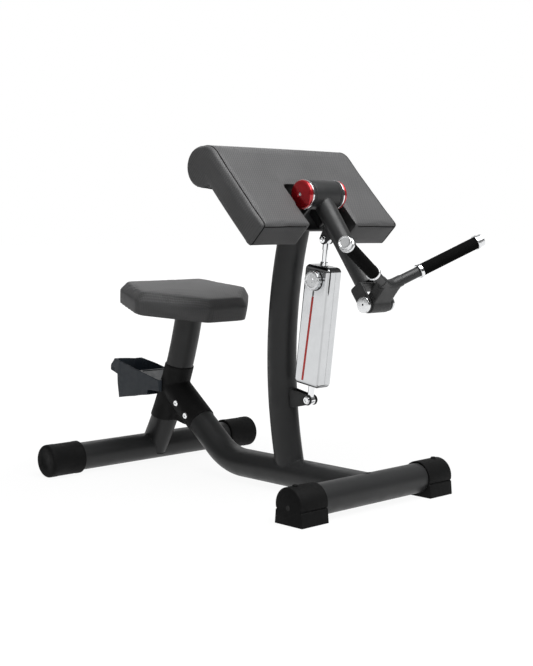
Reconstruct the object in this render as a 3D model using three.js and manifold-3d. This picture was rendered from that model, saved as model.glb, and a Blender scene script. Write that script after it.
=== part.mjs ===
// A biceps curl machine with a sloping arm pad, a saddle seat and a damped curling arm.
// Millimetres. X runs across the machine, +Y towards the seat, +Z up.
// Lengths along Y are first measured from the front face of the front feet.

import * as THREE from 'three';
import { mergeVertices } from 'three/addons/utils/BufferGeometryUtils.js';
import Module from 'manifold-3d';

const wasm = await Module();
wasm.setup();

// Clearances shared by the whole machine
const seam = 0.3;
const overrun = 5;
const reach = 400;

// Rounding of faceted shapes, in sides of a full circle
const capSides = 32;
const tubeSides = 24;
const boreSides = 16;
const smallSides = 16;
const shankSides = 8;
const hexSides = 6;

// Base
const frameTube = { radius: 39, wall: 3 };
const frontFoot = {
  width: 91, depth: 94, archRadius: 44, blockHeight: 34, blockDraft: 3, grooveHeight: 5, grooveDepth: 4,
  endWall: 8, edge: 3, axisHeight: 48, bumpRadius: 7, bumpHeight: 3, bumpInset: 24,
};
const frontBaseWidth = 560;
const rearCap = { radius: 46, length: 108, edge: 9, endWall: 8 };
const rearBaseWidth = 767;
const rearBaseY = 909;

// Spine: level run from the front base, one bend, then a climb to the seat joint
const spine = { axisHeight: 49, bendStartY: 505, bendRadius: 175, climb: 37.5, bendSteps: 7 };

// Seat post: one long arc from the rear base up to the seat
const post = { arcRadius: 1330, apexY: 704, apexZ: 756, steps: 7 };

// Joint cover around the meeting of the spine and the seat post
const cover = {
  wall: 2.7, lowZ: 141, lowTilt: 14, highZ: 294, spineStart: 96, webHalf: 20, webEdge: 6,
  screwHead: 6.5, screwHeadHeight: 3, screwShank: 3,
};
const coverWeb = [[822, 132], [786, 139], [738, 129], [704, 156], [796, 236]];
const coverScrewRuns = [125, 177];

// Column: one long arc from the spine up to the arm pad
const column = { arcRadius: 1265, apexY: 357, apexZ: 349, steps: 9 };

// Arm pad, in its own frame: s up the slope from the front top edge, n out of its top face
const pad = {
  frontY: 163.9, frontZ: 703.9, tilt: 46, halfLength: 250, thickness: 79, edge: 12,
  rollCentre: 269, rollDepth: 68, rollRadius: 54, shoulder: 256, shoulderOver: 18, shoulderAngle: 50,
  crown: 3, drawIn: 4, spans: 8,
  notchHalf: 84, notchLength: 144, notchCorner: 10,
};
// Points of the pad's rounded ends: share of the edge in from the end, share of it drawn in
const padEndShares = [[0, 0.6], [0.3, 0.2], [1, 0]];
const padBoard = { thickness: 9, sideInset: 14, front: 20, rear: 196, corner: 10 };
const padPlate = { thickness: 6, halfLength: 150, start: 60, end: 190, edge: 12 };
const padBolt = { head: 8, headHeight: 6, shank: 4, reach: 120, along: 172, depth: 12 };

// Hub of the curling arm, on the arm pad's yoke
const hub = {
  y: 221, z: 781, radius: 37, halfLength: 44, bore: 28, shaft: 12.5,
  plate: 8, plateGap: 0.6, plateFoot: 52, plateFootStart: 66,
  ring: 4.5, ringOver: 0.5, capRim: 4, capDome: 9, domeSteps: 4, capScrew: 4.5, capScrewHeight: 2,
};

// Curling arm, measured from the hub along the arm
const arm = {
  angle: 36, length: 333, radius: 25, wall: 3,
  forkStart: 56, forkPlate: 8, forkWidth: 40, forkCorner: 9, cheek: 7, hubGap: 1,
  lugAlong: 107, lugBehind: 44, lugRadius: 13, lugPlate: 4, lugGap: 2.2, lugFoot: 30,
  lugArcStart: -105, lugArcEnd: 60,
};

// Handle on the arm's lower pivot: w runs from the pivot to the bar
const handle = {
  tilt: 39.4, hubRadius: 22, hubHalf: 33, shaft: 10, capRadius: 20, capHeight: 7, capEdge: 2,
  barRadius: 13, barWall: 2.5, apex: 54, spread: 30.4, bendRadius: 45, bendSteps: 6,
  neckHalf: 31, neckTopHalf: 31, neckThickness: 21,
  ringStart: 92, ringLength: 9, ringRadius: 18, gripLength: 166, gripRadius: 15.5,
  endCapRadius: 18, endCapRim: 8, endCapTip: 13, endCapTipRadius: 15.5, endEdge: 1.5,
};

// Damper between the arm and the column
const damper = {
  footAhead: 103, footZ: 250.5, eyeRadius: 12.5, eyeHalf: 7, boltRadius: 6,
  rodRadius: 7, eyeNeckRadius: 8.5, eyeNeckEnd: 27,
  casingStart: 72, casingLength: 310, casingWidth: 52, casingDepth: 85,
  casingCorner: 12, casingEdge: 11, casingWall: 3,
  collarRadius: 11.5, collarHeight: 10, glandDepth: 26,
  cylinderRadius: 20, cylinderBore: 16, cylinderTopGap: 4, cylinderFloor: 10, cylinderFootGap: 4,
  footNeck: 8.5, pistonHeight: 20, pistonFootGap: 6,
};
// Rounded ends of the casing: share of the edge along it, share of it drawn in
const casingEdgeShares = [[0, 0.5], [0.25, 0.18], [0.75, 0]];
const knob = { radius: 25, height: 15, drop: 33, stem: 6, stemDepth: 5, flutes: 12, fluteDepth: 1.6 };
const boltHead = { radius: 9.5, height: 4 };

// Column lug that carries the damper's foot
const footLug = { radius: 14, plate: 4, gap: 2.2, topRise: 26, bottomDrop: 28, tangentAngle: 72 };

// Seat, in its own frame: the top face lies at the frame's zero height
const seat = {
  y: 711, z: 521, pitch: 8.9, rearHalf: 138, rearReach: 145, wideHalf: 190, frontHalf: 60, frontReach: 132,
  bevelOut: 18, bevelDrop: 25, thickness: 66, crown: 5, drawIn: 3, corner: 14, cornerGrowth: 1.1,
};
// Rings of the seat's crown: share of its height, share of the front half drawn in
const seatCrownShares = [[0.6, 0.7], [1, 1.5]];
const seatBoard = { thickness: 8, inset: 12 };
const seatPlate = { thickness: 6, halfWidth: 80, halfLength: 70, corner: 12 };
const seatBolt = { head: 8, headHeight: 6, shank: 4, reach: 60, depth: 12 };

// Accessory tray behind the joint cover
const tray = {
  halfWidth: 55, frontY: 813, rearY: 1018, rimFrontZ: 253, rimRearZ: 299, floorFrontZ: 205, floorRearZ: 188,
  draft: 8, wall: 3, corner: 22, lipOut: 30, lipDrop: 30, lipTail: 18, stepLength: 62, stepRise: 16,
  shelfLength: 105, shelfDrop: 2, slotWidth: 80, slotLength: 5, slotInset: 7,
};

const degrees = Math.PI / 180;

// Materials, one for each finish
const finishes = {
  paint: { color: 0x303234, roughness: 0.5, metalness: 0.35 },
  rubber: { color: 0x18191a, roughness: 0.85, metalness: 0 },
  vinyl: { color: 0x3a3a3b, roughness: 0.7, metalness: 0 },
  foam: { color: 0x0f0f10, roughness: 0.9, metalness: 0 },
  chrome: { color: 0xd8dadb, roughness: 0.18, metalness: 1 },
  casing: { color: 0xc6c8c9, roughness: 0.25, metalness: 0.9 },
  red: { color: 0xb8202c, roughness: 0.3, metalness: 0.3 },
  plastic: { color: 0x2a3038, roughness: 0.55, metalness: 0 },
  plywood: { color: 0x3a322a, roughness: 0.8, metalness: 0 },
  bronze: { color: 0x9a7b45, roughness: 0.45, metalness: 0.8 },
  steel: { color: 0x9a9c9e, roughness: 0.35, metalness: 0.95 },
};

// Helpers that turn geometry into closed solids

function closed(geometry) {
  const bare = geometry.index ? geometry.toNonIndexed() : geometry.clone();
  ['normal', 'uv'].forEach((name) => bare.deleteAttribute(name));
  const merged = mergeVertices(bare);
  const source = merged.index.array;
  const kept = [];
  for (let i = 0; i < source.length; i += 3) {
    const [a, b, c] = [source[i], source[i + 1], source[i + 2]];
    if (a !== b && b !== c && c !== a) {
      kept.push(a, b, c);
    }
  }
  merged.setIndex(kept);
  return signedVolume(merged) < 0 ? flipped(merged) : merged;
}

function signedVolume(geometry) {
  const position = geometry.attributes.position;
  const index = geometry.index.array;
  const corner = [new THREE.Vector3(), new THREE.Vector3(), new THREE.Vector3()];
  let sum = 0;
  for (let i = 0; i < index.length; i += 3) {
    corner.forEach((point, k) => point.fromBufferAttribute(position, index[i + k]));
    sum += corner[0].dot(corner[1].clone().cross(corner[2]));
  }
  return sum / 6;
}

function flipped(geometry) {
  const index = Array.from(geometry.index.array);
  for (let i = 0; i < index.length; i += 3) {
    [index[i], index[i + 1]] = [index[i + 1], index[i]];
  }
  geometry.setIndex(index);
  return geometry;
}

function solid(geometry) {
  const body = closed(geometry);
  return new wasm.Manifold(new wasm.Mesh({
    numProp: 3,
    vertProperties: new Float32Array(body.attributes.position.array),
    triVerts: new Uint32Array(body.index.array),
  }));
}

function shapeOf(body) {
  const mesh = body.getMesh();
  const geometry = new THREE.BufferGeometry();
  geometry.setAttribute('position', new THREE.BufferAttribute(Float32Array.from(mesh.vertProperties), 3));
  geometry.setIndex(Array.from(mesh.triVerts));
  return geometry;
}

function cut(geometry, ...tools) {
  return shapeOf(tools.reduce((body, tool) => body.subtract(solid(tool)), solid(geometry)));
}

function join(geometry, ...others) {
  return shapeOf(others.reduce((body, other) => body.add(solid(other)), solid(geometry)));
}

function common(geometry, other) {
  return shapeOf(solid(geometry).intersect(solid(other)));
}

// Helpers for the shapes that repeat

function at(x, y, z) {
  return new THREE.Vector3(x, y, z);
}

function pinX(radius, from, to, y = 0, z = 0, sides = smallSides) {
  const pin = new THREE.CylinderGeometry(radius, radius, to - from, sides);
  pin.rotateZ(-Math.PI / 2);
  return pin.translate((from + to) / 2, y, z);
}

function pinZ(radius, from, to, sides = smallSides) {
  const pin = new THREE.CylinderGeometry(radius, radius, to - from, sides);
  pin.rotateX(Math.PI / 2);
  return pin.translate(0, 0, (from + to) / 2);
}

function straightRod(radius, from, to, sides = tubeSides) {
  const run = new THREE.Vector3().subVectors(to, from);
  const bar = new THREE.CylinderGeometry(radius, radius, run.length(), sides);
  const turn = new THREE.Quaternion().setFromUnitVectors(new THREE.Vector3(0, 1, 0), run.clone().normalize());
  bar.applyQuaternion(turn);
  const middle = new THREE.Vector3().addVectors(from, to).multiplyScalar(0.5);
  return bar.translate(middle.x, middle.y, middle.z);
}

// A turned piece about the X axis, from [radius, x] points that start and end on the axis
function turnedX(points, sides = tubeSides) {
  const profile = points.map(([radius, x]) => new THREE.Vector2(radius, x));
  return new THREE.LatheGeometry(profile, sides).rotateZ(-Math.PI / 2);
}

function turnedZ(points, sides = tubeSides) {
  const profile = points.map(([radius, z]) => new THREE.Vector2(radius, z));
  return new THREE.LatheGeometry(profile, sides).rotateX(Math.PI / 2);
}

function ringPoints(outer, inner, from, to) {
  return [[inner, from], [outer, from], [outer, to], [inner, to], [inner, from]];
}

function box(from, to) {
  const size = [0, 1, 2].map((k) => to[k] - from[k]);
  const block = new THREE.BoxGeometry(...size);
  return block.translate(...[0, 1, 2].map((k) => (from[k] + to[k]) / 2));
}

// A plate drawn in the Y-Z plane and thick along X
function plateX(shape, from, to, curveSegments = 8) {
  const plate = new THREE.ExtrudeGeometry(shape, { depth: to - from, bevelEnabled: false, curveSegments });
  const basis = new THREE.Matrix4().makeBasis(
    new THREE.Vector3(0, 1, 0), new THREE.Vector3(0, 0, 1), new THREE.Vector3(1, 0, 0));
  plate.applyMatrix4(basis);
  return plate.translate(from, 0, 0);
}

function plateZ(shape, from, to, curveSegments = 6) {
  const plate = new THREE.ExtrudeGeometry(shape, { depth: to - from, bevelEnabled: false, curveSegments });
  return plate.translate(0, 0, from);
}

function roundShape(radius, sides) {
  const points = [];
  for (let i = 0; i < sides; i += 1) {
    const turn = (i / sides) * 2 * Math.PI;
    points.push(new THREE.Vector2(radius * Math.cos(turn), radius * Math.sin(turn)));
  }
  return points;
}

// A polygon whose corners are rounded by quarter-style curves
function roundedPolygon(points, radius) {
  const shape = new THREE.Shape();
  const count = points.length;
  points.forEach((point, i) => {
    const before = points[(i + count - 1) % count];
    const after = points[(i + 1) % count];
    const inward = before.clone().sub(point).setLength(radius).add(point);
    const outward = after.clone().sub(point).setLength(radius).add(point);
    if (i === 0) {
      shape.moveTo(inward.x, inward.y);
    } else {
      shape.lineTo(inward.x, inward.y);
    }
    shape.quadraticCurveTo(point.x, point.y, outward.x, outward.y);
  });
  shape.closePath();
  return shape;
}

function vectors(pairs) {
  return pairs.map(([a, b]) => new THREE.Vector2(a, b));
}

// A rounded rectangle that is as wide on both sides of the middle
function roundedPlan(half, from, to, corner) {
  return roundedPolygon(vectors([[-half, from], [half, from], [half, to], [-half, to]]), corner);
}

// A hollow tube along a curve
function sweptTube(path, radius, wall, steps = path.steps, sides = tubeSides) {
  const section = new THREE.Shape(roundShape(radius, sides));
  if (wall > 0) {
    section.holes.push(new THREE.Path(roundShape(radius - wall, boreSides)));
  }
  return new THREE.ExtrudeGeometry(section, { steps, extrudePath: path, bevelEnabled: false });
}

function straightTube(radius, wall, from, to) {
  return sweptTube(new THREE.LineCurve3(from, to), radius, wall, 1);
}

// A path with its own stops, so that a tube has its rings where the path bends
class SteppedPath extends THREE.Curve {
  constructor(stops, place) {
    super();
    Object.assign(this, { stops, place, steps: stops.length - 1 });
  }

  getPoint(t, target = new THREE.Vector3()) {
    const [first, last] = [this.stops[0], this.stops[this.steps]];
    return target.copy(this.place(first + t * (last - first)));
  }

  getUtoTmapping(u) {
    const along = u * this.steps;
    const i = Math.min(Math.floor(along), this.steps - 1);
    const stop = THREE.MathUtils.lerp(this.stops[i], this.stops[i + 1], along - i);
    return (stop - this.stops[0]) / (this.stops[this.steps] - this.stops[0]);
  }
}

function stopsBetween(from, to, count) {
  return Array.from({ length: count + 1 }, (unused, i) => from + ((to - from) * i) / count);
}

// A closed skin over a row of outlines that share their point count
function skinned(outlines, place) {
  const count = outlines[0].length;
  const vertices = [];
  outlines.forEach((outline, k) => outline.forEach((point) => vertices.push(...place(point, k))));
  const faces = [];
  for (let k = 0; k + 1 < outlines.length; k += 1) {
    for (let i = 0; i < count; i += 1) {
      const next = (i + 1) % count;
      const [a, b, c, d] = [k * count + i, k * count + next, (k + 1) * count + next, (k + 1) * count + i];
      faces.push(a, b, c, a, c, d);
    }
  }
  const last = (outlines.length - 1) * count;
  THREE.ShapeUtils.triangulateShape(outlines[0], []).forEach(([a, b, c]) => faces.push(a, c, b));
  const end = THREE.ShapeUtils.triangulateShape(outlines[outlines.length - 1], []);
  end.forEach(([a, b, c]) => faces.push(last + a, last + b, last + c));
  const geometry = new THREE.BufferGeometry();
  geometry.setAttribute('position', new THREE.Float32BufferAttribute(vertices, 3));
  geometry.setIndex(faces);
  return geometry;
}

// The outline's points, each moved inwards along the bisector of its two edges
function insetOutline(points, distance) {
  const count = points.length;
  const turn = THREE.ShapeUtils.isClockWise(points) ? -1 : 1;
  return points.map((point, i) => {
    const before = point.clone().sub(points[(i + count - 1) % count]).normalize();
    const after = points[(i + 1) % count].clone().sub(point).normalize();
    const along = before.add(after).normalize();
    return new THREE.Vector2(point.x - turn * along.y * distance, point.y + turn * along.x * distance);
  });
}

function outlinePoints(shape, divisions) {
  const points = shape.getPoints(divisions);
  const kept = points.filter((point, i) => i === 0 || point.distanceTo(points[i - 1]) > seam);
  if (kept[0].distanceTo(kept[kept.length - 1]) < seam) {
    kept.pop();
  }
  return kept;
}

const machine = new THREE.Group();
machine.name = 'biceps_curl_machine';

function add(parent, name, geometry, finish) {
  const body = closed(geometry);
  body.computeVertexNormals();
  const mesh = new THREE.Mesh(body, new THREE.MeshStandardMaterial(finishes[finish]));
  mesh.name = name;
  parent.add(mesh);
  return mesh;
}

const sides = [{ label: 'left', sign: -1 }, { label: 'right', sign: 1 }];

function mirroredX(geometry, sign) {
  return sign > 0 ? geometry : geometry.clone().scale(-1, 1, 1);
}

// Front base: a cross tube in two rubber feet
const frontAxisY = frontFoot.depth / 2;

function buildFrontBase() {
  const half = frontBaseWidth / 2 - frontFoot.endWall - seam;
  const tube = straightTube(frameTube.radius, frameTube.wall, at(-half, 0, 0), at(half, 0, 0));
  add(machine, 'front_base_tube', tube.translate(0, frontAxisY, frontFoot.axisHeight), 'paint');
  sides.forEach(({ label, sign }) => {
    add(machine, `front_foot_${label}`, mirroredX(frontFootShape(), sign), 'rubber');
  });
}

// Foot profile: a flared block, a groove on both faces, and an arch over the tube
function frontFootShape() {
  const half = frontFoot.depth / 2;
  const blockTop = half - frontFoot.blockDraft;
  const waist = blockTop - frontFoot.grooveDepth;
  const grooveTop = frontFoot.blockHeight + frontFoot.grooveHeight;
  const lift = grooveTop - frontFoot.axisHeight;
  const archStart = Math.asin(lift / frontFoot.archRadius);
  const shape = new THREE.Shape();
  shape.moveTo(-half, 0);
  shape.lineTo(half, 0);
  shape.lineTo(blockTop, frontFoot.blockHeight);
  shape.lineTo(waist, frontFoot.blockHeight + frontFoot.grooveHeight / 2);
  shape.absarc(0, frontFoot.axisHeight, frontFoot.archRadius, archStart, Math.PI - archStart, false);
  shape.lineTo(-waist, frontFoot.blockHeight + frontFoot.grooveHeight / 2);
  shape.lineTo(-blockTop, frontFoot.blockHeight);
  shape.closePath();
  const outerX = frontBaseWidth / 2;
  const innerX = outerX - frontFoot.width;
  const block = plateX(shape, innerX, outerX - frontFoot.edge, tubeSides / 2);
  const cap = plateX(shape, 0, frontFoot.edge, tubeSides / 2);
  const end = taperedEnd(cap, frontFoot.edge, half, frontFoot.axisHeight);
  end.translate(outerX - frontFoot.edge, 0, 0);
  const bump = pinZ(frontFoot.bumpRadius, 0, frontFoot.bumpHeight + overrun);
  bump.translate(outerX - frontFoot.bumpInset, 0, frontFoot.axisHeight + frontFoot.archRadius - overrun);
  const socketEnd = outerX - frontFoot.endWall;
  const bore = frameTube.radius + seam;
  const socket = pinX(bore, innerX - overrun, socketEnd, 0, frontFoot.axisHeight, tubeSides);
  return cut(join(block, end, bump), socket).translate(0, frontAxisY, 0);
}

// Shrinks the far end of a plate towards its middle, for a chamfered outer face
function taperedEnd(plate, depth, half, middleZ) {
  const position = plate.attributes.position;
  for (let i = 0; i < position.count; i += 1) {
    const share = position.getX(i) / depth;
    const shrink = 1 - (share * depth) / half;
    position.setY(i, position.getY(i) * shrink);
    const z = position.getZ(i);
    if (z > middleZ) {
      position.setZ(i, middleZ + (z - middleZ) * shrink);
    }
  }
  return plate;
}

// Rear base: a wider cross tube in two round rubber caps
const rearAxisZ = rearCap.radius;

function buildRearBase() {
  const outer = rearBaseWidth / 2;
  const half = outer - rearCap.endWall - seam;
  const tube = straightTube(frameTube.radius, frameTube.wall, at(-half, 0, 0), at(half, 0, 0));
  add(machine, 'rear_base_tube', tube.translate(0, rearBaseY, rearAxisZ), 'paint');
  const inner = outer - rearCap.length;
  const floor = outer - rearCap.endWall;
  const bore = frameTube.radius + seam;
  const edge = rearCap.edge;
  const profile = [
    [bore, inner], [rearCap.radius - seam, inner], [rearCap.radius, inner + seam],
    [rearCap.radius, outer - edge],
    [rearCap.radius - edge * (1 - Math.SQRT1_2), outer - edge * (1 - Math.SQRT1_2)],
    [rearCap.radius - edge, outer], [0, outer], [0, floor], [bore, floor], [bore, inner],
  ];
  sides.forEach(({ label, sign }) => {
    const cap = turnedX(profile, capSides).translate(0, rearBaseY, rearAxisZ);
    add(machine, `rear_cap_${label}`, mirroredX(cap, sign), 'rubber');
  });
}

// The two long arcs: the column bulges towards the seat and the post away from it
function arcPoint(arc, z) {
  const bulge = arc.arcRadius - Math.sqrt(arc.arcRadius ** 2 - (z - arc.apexZ) ** 2);
  return at(0, arc.apexY + arc.bend * bulge, z);
}

function arcRun(arc, z) {
  const slope = (arc.bend * (z - arc.apexZ)) / Math.sqrt(arc.arcRadius ** 2 - (z - arc.apexZ) ** 2);
  return at(0, slope, 1).normalize();
}

// Path up one of the arcs, with the same stops for every piece that follows it
function arcPath(arc, fromZ, toZ) {
  return new SteppedPath(stopsBetween(fromZ, toZ, arc.steps), (z) => arcPoint(arc, z));
}

const postArc = { ...post, bend: 1 };
const columnArc = { ...column, bend: -1 };
const postPath = arcPath(postArc, rearAxisZ, seat.z);
const columnPath = arcPath(columnArc, spine.axisHeight, pad.frontZ + spine.axisHeight);

// Spine: its path is a level line, an arc and a climbing line up to the seat post
const climb = spine.climb * degrees;
const bendEnd = at(0,
  spine.bendStartY + spine.bendRadius * Math.sin(climb),
  spine.axisHeight + spine.bendRadius * (1 - Math.cos(climb)));
const climbRun = at(0, Math.cos(climb), Math.sin(climb));

function climbTo(distance) {
  return bendEnd.clone().addScaledVector(climbRun, distance);
}

// Distance up the climb at which the spine's axis meets the seat post's axis
function meetingDistance() {
  let distance = 0;
  while (climbTo(distance).y < arcPoint(postArc, climbTo(distance).z).y) {
    distance += seam;
  }
  return distance;
}

const meeting = meetingDistance();

const spineLevel = spine.bendStartY - frontAxisY;
const spineArc = spine.bendRadius * climb;

function spinePoint(along) {
  if (along <= spineLevel) {
    return at(0, frontAxisY + along, spine.axisHeight);
  }
  if (along <= spineLevel + spineArc) {
    const turn = (along - spineLevel) / spine.bendRadius;
    return at(0,
      spine.bendStartY + spine.bendRadius * Math.sin(turn),
      spine.axisHeight + spine.bendRadius * (1 - Math.cos(turn)));
  }
  return climbTo(along - spineLevel - spineArc);
}

const seatPitch = seat.pitch * degrees;
const seatUp = at(0, -Math.sin(seatPitch), Math.cos(seatPitch));
const seatPlateDrop = seat.thickness + seam + seatPlate.thickness + seam;
const seatPlateFace = at(0, seat.y, seat.z).addScaledVector(seatUp, -seatPlateDrop);

// A large block whose lower face lies at a point, square to a direction
function blockAbove(point, direction) {
  const block = box([-reach, -reach, 0], [reach, reach, 2 * reach]);
  const turn = new THREE.Quaternion().setFromUnitVectors(at(0, 0, 1), direction.clone().normalize());
  block.applyQuaternion(turn);
  return block.translate(point.x, point.y, point.z);
}

function buildSpineAndPost() {
  const bendStops = stopsBetween(spineLevel, spineLevel + spineArc, spine.bendSteps);
  const spinePath = new SteppedPath([0, ...bendStops, spineLevel + spineArc + meeting], spinePoint);
  const spineBody = sweptTube(spinePath, frameTube.radius, frameTube.wall);
  const fit = frameTube.radius + seam;
  const frontSaddle = pinX(fit, -reach, reach, frontAxisY, frontFoot.axisHeight, tubeSides);
  const frontSide = box([-reach, -reach, -reach], [reach, frontAxisY, reach]);
  const postSolid = sweptTube(postPath, fit, 0);
  const screwHoles = coverScrewRuns.map((run) => coverScrewAt(run, cover.screwShank + seam, -reach, reach));
  add(machine, 'spine_tube', cut(spineBody, frontSaddle, frontSide, postSolid, ...screwHoles), 'paint');

  const rearSaddle = pinX(fit, -reach, reach, rearBaseY, rearAxisZ, tubeSides);
  const belowRear = blockAbove(at(0, rearBaseY, rearAxisZ), at(0, 0, -1));
  const postBody = sweptTube(postPath, frameTube.radius, frameTube.wall);
  add(machine, 'seat_post', cut(postBody, rearSaddle, belowRear, blockAbove(seatPlateFace, seatUp)), 'paint');
}

// A round pin across the machine at a distance up the spine's climb
function coverScrewAt(run, radius, from, to) {
  const { y, z } = climbTo(run);
  return pinX(radius, from, to, y, z, radius > cover.screwShank + seam ? smallSides : shankSides);
}

// Joint cover: collars on the two tubes and a web between them, split down the middle
function buildCover() {
  const outerRadius = frameTube.radius + seam + cover.wall;
  const collar = sweptTube(postPath, outerRadius, 0);
  const spineCollar = straightRod(outerRadius, climbTo(cover.spineStart), climbTo(meeting));
  const web = plateX(roundedPolygon(vectors(coverWeb), cover.webEdge), -cover.webHalf, cover.webHalf);
  const lowTilt = cover.lowTilt * degrees;
  const lowFace = blockAbove(arcPoint(postArc, cover.lowZ), at(0, Math.sin(lowTilt), -Math.cos(lowTilt)));
  const highFace = blockAbove(arcPoint(postArc, cover.highZ), arcRun(postArc, cover.highZ));
  const postBore = sweptTube(postPath, frameTube.radius + seam, 0);
  const spineBore = straightRod(frameTube.radius + seam, climbTo(0), climbTo(meeting));
  const shell = cut(join(cut(collar, lowFace), web, spineCollar), highFace, postBore, spineBore);
  const holes = coverScrewRuns.map((run) => coverScrewAt(run, cover.screwShank + seam, -reach, reach));
  sides.forEach(({ label, sign }) => {
    const keep = box([seam / 2, 0, -reach], [reach, rearBaseY, reach]);
    add(machine, `cover_shell_${label}`, cut(common(shell, mirroredX(keep, sign)), ...holes), 'rubber');
  });
  const headFace = -outerRadius - seam;
  ['lower', 'upper'].forEach((label, i) => {
    const head = coverScrewAt(coverScrewRuns[i], cover.screwHead, headFace - cover.screwHeadHeight, headFace);
    const shank = coverScrewAt(coverScrewRuns[i], cover.screwShank, headFace - seam, outerRadius - seam);
    add(machine, `cover_screw_${label}`, join(head, shank), 'chrome');
  });
}

// Frame of the arm pad
const padTilt = pad.tilt * degrees;
const slopeRun = at(0, Math.cos(padTilt), Math.sin(padTilt));
const slopeUp = at(0, -Math.sin(padTilt), Math.cos(padTilt));
const padOrigin = at(0, pad.frontY, pad.frontZ);
const plateDrop = pad.thickness + seam;
const columnCutDrop = plateDrop + padPlate.thickness + seam;

const padGroup = new THREE.Group();
padGroup.position.copy(padOrigin);
padGroup.rotation.x = padTilt;
machine.add(padGroup);

function inPad(point) {
  const offset = point.clone().sub(padOrigin);
  return new THREE.Vector2(offset.dot(slopeRun), offset.dot(slopeUp));
}

function buildColumn() {
  const tube = sweptTube(columnPath, frameTube.radius, frameTube.wall);
  const levelStart = at(0, 0, spine.axisHeight);
  const levelEnd = at(0, spine.bendStartY, spine.axisHeight);
  const saddle = straightRod(frameTube.radius + seam, levelStart, levelEnd);
  const below = blockAbove(at(0, column.apexY, spine.axisHeight), at(0, 0, -1));
  const topCut = blockAbove(padOrigin.clone().addScaledVector(slopeUp, -columnCutDrop), slopeUp);
  add(machine, 'column', cut(tube, saddle, below, topCut), 'paint');
}

// Foot lug: two cheeks on the front of the column, joined by a back plate
const footPivot = at(0, arcPoint(columnArc, damper.footZ).y - damper.footAhead, damper.footZ);
const lugInner = damper.eyeHalf + footLug.gap;

function buildFootLug() {
  const skin = Math.sqrt(frameTube.radius ** 2 - (lugInner + footLug.plate) ** 2);
  const columnFace = arcPoint(columnArc, damper.footZ).y - skin;
  const back = columnFace + footLug.plate;
  const shape = new THREE.Shape();
  shape.moveTo(back, damper.footZ - footLug.bottomDrop);
  shape.lineTo(back, damper.footZ + footLug.topRise);
  const tangent = footLug.tangentAngle * degrees;
  shape.absarc(footPivot.y, damper.footZ, footLug.radius, tangent, 2 * Math.PI - tangent, false);
  shape.closePath();
  const cheeks = plateX(shape, -lugInner - footLug.plate, lugInner + footLug.plate);
  const slotBack = columnFace - footLug.plate;
  const slot = box([-lugInner, footPivot.y - reach, 0], [lugInner, slotBack, reach]);
  const columnBody = sweptTube(columnPath, frameTube.radius + seam, 0);
  const holes = pinX(damper.boltRadius + seam, -reach, reach, footPivot.y, footPivot.z);
  add(machine, 'foot_lug', cut(cheeks, slot, columnBody, holes), 'paint');
  const outer = lugInner + footLug.plate + seam;
  const stubEnd = lugInner + seam;
  const bolt = join(
    pinX(boltHead.radius, -outer - boltHead.height, -outer, footPivot.y, footPivot.z, hexSides),
    pinX(damper.boltRadius, -outer - seam, -stubEnd, footPivot.y, footPivot.z));
  const nut = join(
    pinX(boltHead.radius, outer, outer + boltHead.height, footPivot.y, footPivot.z, hexSides),
    pinX(damper.boltRadius, stubEnd, outer + boltHead.height + footLug.gap, footPivot.y, footPivot.z));
  add(machine, 'foot_bolt', bolt, 'chrome');
  add(machine, 'foot_nut', nut, 'chrome');
}

// Arm pad: slab and roll in one cushion, notched for the arm
function padProfile() {
  const shape = new THREE.Shape();
  const low = -pad.thickness;
  const edge = pad.edge;
  const rollY = -pad.rollDepth;
  const joinAngle = Math.acos((low - rollY) / pad.rollRadius);
  shape.moveTo(0, low + edge);
  shape.quadraticCurveTo(0, low, edge, low);
  const joinS = pad.rollCentre - pad.rollRadius * Math.sin(joinAngle);
  shape.lineTo(joinS, low);
  const start = Math.atan2(low - rollY, joinS - pad.rollCentre);
  shape.absarc(pad.rollCentre, rollY, pad.rollRadius, start, pad.shoulderAngle * degrees, false);
  shape.quadraticCurveTo(pad.rollCentre + pad.shoulderOver, 0, pad.shoulder, 0);
  shape.lineTo(edge, 0);
  shape.quadraticCurveTo(0, 0, 0, -edge);
  shape.closePath();
  return shape;
}

// The notch for the arm, with a margin round it where the board stays clear of its walls
function notchTool(margin, bottom, top) {
  const half = pad.notchHalf + margin;
  const length = pad.notchLength + margin;
  return plateZ(roundedPlan(half, -overrun - pad.notchCorner, length, pad.notchCorner), bottom, top);
}

// The board's outline, grown by a margin for the pocket that it lies in
function boardShape(margin) {
  const half = pad.halfLength - padBoard.sideInset + margin;
  return roundedPlan(half, padBoard.front - margin, padBoard.rear + margin, padBoard.corner);
}

function boardBlank(margin, bottom, top) {
  const notch = notchTool(padBoard.sideInset - margin, bottom - overrun, top + overrun);
  return cut(plateZ(boardShape(margin), bottom, top), notch);
}

function buildArmPad() {
  const profile = outlinePoints(padProfile(), 8);
  const stations = padStations();
  const cushion = skinned(
    stations.map(({ inset }) => insetOutline(profile, inset)),
    (point, k) => [stations[k].x, point.x, point.y]);
  softenPad(cushion);
  const bottom = -pad.thickness;
  const boardTop = bottom + padBoard.thickness;
  const notch = notchTool(0, bottom - overrun, pad.crown + overrun);
  const pocket = boardBlank(seam, bottom - overrun, boardTop + seam);
  add(padGroup, 'arm_pad', cut(cushion, notch, pocket), 'vinyl');

  const boltHoles = sides.map(({ sign }) => boltHole(sign, bottom, boardTop));
  add(padGroup, 'pad_board', cut(boardBlank(0, bottom, boardTop), ...boltHoles), 'plywood');
}

// Stations across the pad: rounded in at both ends, evenly spaced between
function padStations() {
  const flank = padEndShares.map(([along, drawn]) => (
    { x: pad.halfLength - along * pad.edge, inset: drawn * pad.edge }));
  const between = [];
  for (let i = 1; i < pad.spans; i += 1) {
    const share = 1 - (2 * i) / pad.spans;
    between.push({ x: share * (pad.halfLength - pad.edge), inset: 0 });
  }
  const mirrored = flank.map(({ x, inset }) => ({ x: -x, inset })).reverse();
  return [...flank, ...between, ...mirrored];
}

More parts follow.
